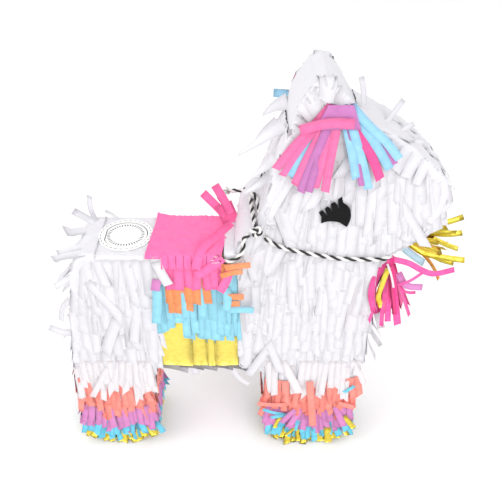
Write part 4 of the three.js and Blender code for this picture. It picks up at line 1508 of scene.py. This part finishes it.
def forelock_strip(sheaf, side, shift, root_x, tip, width, colour, layer):
    """A strip from the glued top edge that bends out and down to its tip."""
    rng = sheaf.rng
    y = SKIN_Y + 1.35 + 0.22 * layer
    root = np.array([root_x, FORELOCK_TOP_Z]) + shift
    tip = np.array(tip) + shift * [-1.2, 1]
    waist = root + (tip - root) * 0.35 + [0, rng.uniform(-0.3, 0.3)]
    low = root + (tip - root) * 0.7 + [0, 0.8]
    points = [(root[0], side * y, root[1]), (waist[0], side * (y + 0.5), waist[1]),
              (low[0], side * (y + 1.1 + rng.uniform(0, 0.4)), low[1]),
              (tip[0], side * (y + 1.3 + rng.uniform(0, 1.3)), tip[1])]
    free_strip(sheaf, points, width * rng.uniform(0.95, 1.05), facing=(0, side, 0), tone=rng.gauss(1, 0.04),
               mat=colour, cup=rng.uniform(-0.06, 0.06), slant=rng.gauss(0, 0.4))


def forelock_patch(sheaf, side, shift):
    """The patch of tissue that holds the strips together at the top."""
    rows = []
    for t in np.linspace(0, 1, 8):
        z = FORELOCK_TOP_Z + 0.4 - 9.0 * t
        row = []
        for x in np.linspace(29.0 - 4.3 * t, 37.9 + 3.2 * t, 12):
            y = SKIN_Y + 2.35 + 0.7 * t + 0.2 * ripple(x, z, 1.0, 0.6)
            row.append((x + shift[0], side * y, z + shift[1]))
        rows.append(row)
    cloth(sheaf, np.array(rows), mat=LILAC, tone=1.05)


def make_forelocks():
    colours = [forelock_pink, forelock_lilac, forelock_sky, forelock_rose]
    for side_name, side in (("right", -1), ("left", 1)):
        sheaf = Sheaf(f"forelock_tissue_{side_name}")
        shift = np.array(FORELOCK_LEFT_SHIFT if side > 0 else (0.0, 0.0))
        for strip in FORELOCK:
            forelock_strip(sheaf, side, shift, *strip)
        if side < 0:
            free_strip(sheaf, CROSS_STRIP, 3.9, facing=(0, side, 0), mat=PINK)
        else:
            for points, colour in FAR_LOCK_STRIPS:
                free_strip(sheaf, points, 3.2, facing=(0, -1, 0.4), mat=colour)
        forelock_patch(sheaf, side, shift)
        sheaf.finish(colours, "body", "pink_tissue", [f"forelock_{side_name}"])


# ---- tassels --------------------------------------------------------------------------------


def tassel_axes(lean):
    """The way a tassel hangs and the way its front faces, its lean in degrees towards the nose."""
    angle = math.radians(lean)
    down = np.array([math.sin(angle), 0, -math.cos(angle)])
    return down, np.array([math.cos(angle), 0, math.sin(angle)])


BUNDLE_STRIPS = 9
BUNDLE_RADIUS = 1.9


def bundle(sheaf, pivot, lean, mat_of, reach=6.0, width=2.2):
    """The gathered head of a tassel: strips folded over the twine and drawn together."""
    rng = sheaf.rng
    down, front = tassel_axes(lean)
    aside = np.array([0, 1.0, 0])
    for k in range(BUNDLE_STRIPS):
        a = 2 * math.pi * k / BUNDLE_STRIPS + rng.uniform(-0.2, 0.2)
        out = front * math.cos(a) + aside * math.sin(a)
        r = BUNDLE_RADIUS * rng.uniform(0.75, 1.05)
        points = [pivot + down * (TWINE / 2 + 0.35) + out * 0.5, pivot + down * 2.2 + out * r * 1.05,
                  pivot + down * 3.9 + out * r * 0.72, pivot + down * reach + out * r]
        path = smooth_route(points, 0.9)
        across = np.tile(np.cross(down, out), (len(path), 1))
        sheaf.ribbon(path, across, width, tone=rng.gauss(1, 0.05), mat=mat_of(k), cup=0.12)


def skirt(sheaf, pivot, lean, count, start, length, spread, mat_of, width=(2.4, 3.2)):
    """Strips that hang from the head of a tassel and fan out."""
    rng = sheaf.rng
    down, front = tassel_axes(lean)
    aside = np.array([0, 1.0, 0])
    for k in range(count):
        a = 2 * math.pi * (k * 0.618 % 1)
        share = math.sqrt((k + 0.5) / count)
        out = front * math.cos(a) + aside * math.sin(a)
        reach = rng.uniform(*length)
        wide = spread * share * rng.uniform(0.8, 1.15)
        root = pivot + down * start + out * (0.4 + 1.5 * share)
        points = [root, root + down * reach * 0.35 + out * wide * 0.3,
                  root + down * reach * 0.7 + out * wide * 0.72,
                  root + down * reach + out * wide * rng.uniform(0.9, 1.2)]
        path = smooth_route(points, 2.4)
        turn = a + math.pi / 2 + rng.gauss(0, 0.5)
        across = front * math.cos(turn) + aside * math.sin(turn)
        sheaf.ribbon(path, np.tile(across, (len(path), 1)), rng.uniform(*width), tone=rng.gauss(1, 0.06),
                     mat=mat_of(k), cup=rng.uniform(-0.1, 0.1), slant=rng.gauss(0, 0.5))


PINK_PIVOT = np.array([59.0, -12.0, 115.5])
GOLD_PIVOT = np.array([58.5, 5.0, 113.5])
PINK_LEAN, GOLD_LEAN = 7.0, 87.0
# Single strips of the tassels: points relative to the pivot, width, colour.
PINK_TASSEL_STRIPS = [
    ([(2, -1.5, -2), (8, -2, -3.5), (14.5, -2, -7.5), (19, -2.2, -8.9), (27.5, -1.5, -7.2)], 2.6, 1),
    ([(5, -2, -15), (9.5, -2.5, -12.5), (14.5, -2, -8.4)], 1.4, 1),
    ([(5, 0, -10), (8.5, -2, -15.2), (15.4, -2.5, -15.8)], 3.0, 4),
    ([(4.5, 0, -14), (9, -1, -19.6), (13.4, -1, -19.9)], 1.4, 1),
    ([(-0.5, -3.5, -5), (-2.2, -4.6, -12), (-3.0, -4.4, -20), (-1.0, -4.6, -25)], 2.4, 2),
    ([(-1, -3.2, -3), (1.2, -4.6, -8.5), (2.6, -5.0, -14)], 0.9, 3),
    ([(-1.5, -1, -4), (-5, -2.4, -12), (-5.6, -3, -19), (-3.4, -3.4, -28)], 3.4, 1),
    ([(-1.5, 1, -4), (-4.4, 0, -14), (-4.8, -1, -22), (-1.4, -2, -30.5)], 3.4, 1),
]
GOLD_TASSEL_STRIPS = [
    ([(9, -1, 1), (18, -2, 5.5), (27, -2, 7.4), (33.6, -1, 9.4)], 2.4, 0),
    ([(10, -1, 0.5), (19, -3, 2.5), (28, -3, 1.8), (34.2, -2, 1.9)], 2.4, 0),
    ([(12, -1, 0), (20, -3, 0.5), (28, -3, -3.6), (34.0, -2, -6.6)], 2.2, 0),
    ([(10, -2, -2), (18, -4, -7), (27, -4, -9.6), (37.6, -3, -12.0)], 2.6, 0),
    ([(10, 1, -2), (17, 0, -6), (23, 0, -9.5), (28.4, 0, -12.8)], 2.4, 0),
    ([(9, 2, -2), (18, 2, -8), (27, 1, -14), (34.6, 1, -16.8)], 2.2, 0),
    ([(14, 0, -5), (20, -1, -10.6), (25, -1, -17), (29.2, 0, -25.2)], 1.7, 1),
    ([(7, -3, -2.5), (12, -4, -6.8), (19.6, -4, -12.8)], 3.4, 2),
]


def make_pink_tassel():
    colours = [hot_pink, tassel_pink, gold_foil, white_tissue, lilac_tissue]
    sheaf = Sheaf("pink_tassel_head")
    bundle(sheaf, PINK_PIVOT, PINK_LEAN, lambda k: 0 if k % 3 else 1)
    sheaf.finish(colours, "pink_tassel", "pink_tissue", ["pink_tassel_binding"])
    sheaf = Sheaf("pink_tassel_strips")
    skirt(sheaf, PINK_PIVOT, PINK_LEAN, 13, 5.0, (22, 27), 4.5, lambda k: 0)
    skirt(sheaf, PINK_PIVOT, PINK_LEAN, 15, 5.2, (23, 29), 8.0, lambda k: 1)
    for points, width, colour in PINK_TASSEL_STRIPS:
        free_strip(sheaf, [PINK_PIVOT + np.array(p) for p in points], width, facing=(0.1, -1, 0.2),
                   mat=colour, tone=sheaf.rng.gauss(1, 0.04))
    sheaf.finish(colours, "pink_tassel", "pink_tissue", ["pink_tassel_skirt"])


def make_gold_tassel():
    colours = [gold_foil, amber_foil, pale_blue]
    sheaf = Sheaf("gold_tassel_head")
    bundle(sheaf, GOLD_PIVOT, GOLD_LEAN, lambda k: 0, reach=7.5, width=2.0)
    sheaf.finish(colours, "gold_tassel", "gold_foil", ["gold_tassel_binding"])
    sheaf = Sheaf("gold_tassel_strips")
    skirt(sheaf, GOLD_PIVOT, GOLD_LEAN, 20, 6.5, (14, 24), 6.5, lambda k: 1 if k % 7 == 3 else 0,
          width=(1.6, 2.6))
    for points, width, colour in GOLD_TASSEL_STRIPS:
        free_strip(sheaf, [GOLD_PIVOT + np.array(p) for p in points], width, facing=(0.2, -0.7, 0.6),
                   mat=colour, tone=sheaf.rng.gauss(1, 0.04), cup=sheaf.rng.uniform(-0.1, 0.1))
    sheaf.finish(colours, "gold_tassel", "gold_foil", ["gold_tassel_skirt"])


# ---- fill sticker ---------------------------------------------------------------------------


def sticker_material(name, ring, count, duty, ink):
    """White sticker paper with short marks round a ring, given by its inner and outer radius in metres.

    Count is the number of marks, and duty the share of the ring that they cover.
    """
    material, nodes, links, shader = new_material(name)
    where = object_vector(nodes)
    low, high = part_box("fill_sticker_ring")
    centre = (low + high) / 2
    centred = nodes.new("ShaderNodeVectorMath")
    centred.operation = "SUBTRACT"
    centred.inputs[1].default_value = (centre.x, centre.y, 0)
    links.new(where, centred.inputs[0])
    parts = nodes.new("ShaderNodeSeparateXYZ")
    links.new(centred.outputs["Vector"], parts.inputs[0])

    def calc(operation, a, b=None):
        node = nodes.new("ShaderNodeMath")
        node.operation = operation
        for socket, value in zip(node.inputs, (a, b)):
            if isinstance(value, (int, float)):
                socket.default_value = value
            elif value is not None:
                links.new(value, socket)
        return node.outputs["Value"]

    x, y = parts.outputs["X"], parts.outputs["Y"]
    radius = calc("SQRT", calc("ADD", calc("MULTIPLY", x, x), calc("MULTIPLY", y, y)))
    angle = calc("DIVIDE", calc("ARCTAN2", y, x), 2 * math.pi)
    dash = calc("LESS_THAN", calc("FRACT", calc("MULTIPLY", angle, count)), duty)
    inside = calc("MULTIPLY", calc("GREATER_THAN", radius, ring[0]), calc("LESS_THAN", radius, ring[1]))
    marks = calc("MULTIPLY", dash, inside)
    cloud = noise(nodes, links, where, 300.0, 3.0)
    paper = ramp(nodes, links, cloud, [(0.3, (0.82, 0.82, 0.81)), (0.7, (0.87, 0.87, 0.86))])
    mix = nodes.new("ShaderNodeMix")
    mix.data_type = "RGBA"
    links.new(marks, mix.inputs["Factor"])
    links.new(paper, mix.inputs["A"])
    mix.inputs["B"].default_value = (*ink, 1.0)
    links.new(mix.outputs["Result"], shader.inputs["Base Color"])
    links.new(scale_value(nodes, links, cloud, 0.45, 0.6), shader.inputs["Roughness"])
    return material


def make_sticker():
    disc = sticker_material("sticker_disc", (0.0066, 0.0079), 40, 0.42, (0.09, 0.09, 0.10))
    rim = sticker_material("sticker_rim", (0.0104, 0.0108), 30, 0.6, (0.30, 0.30, 0.31))
    for node, material in (("fill_sticker_center", disc), ("fill_sticker_ring", rim)):
        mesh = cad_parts[node].data
        mesh.materials.clear()
        mesh.materials.append(material)


def make_bare_card():
    """Card for the pieces of the frame that show as they are."""
    for name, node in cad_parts.items():
        if not node.hide_render and "sticker" not in name:
            node.data.materials.clear()
            node.data.materials.append(card)


# ---- end ------------------------------------------------------------------------------------

make_camera()
make_twine()
make_stage()
make_white_flanks()
make_rump_edge()
make_belly()
make_nape()
make_ear()
make_face_edge()
make_chest()
make_saddle_sheet()
make_saddle_rows()
make_feet()
make_eyes()
make_forelocks()
make_pink_tassel()
make_gold_tassel()
make_sticker()
make_bare_card()
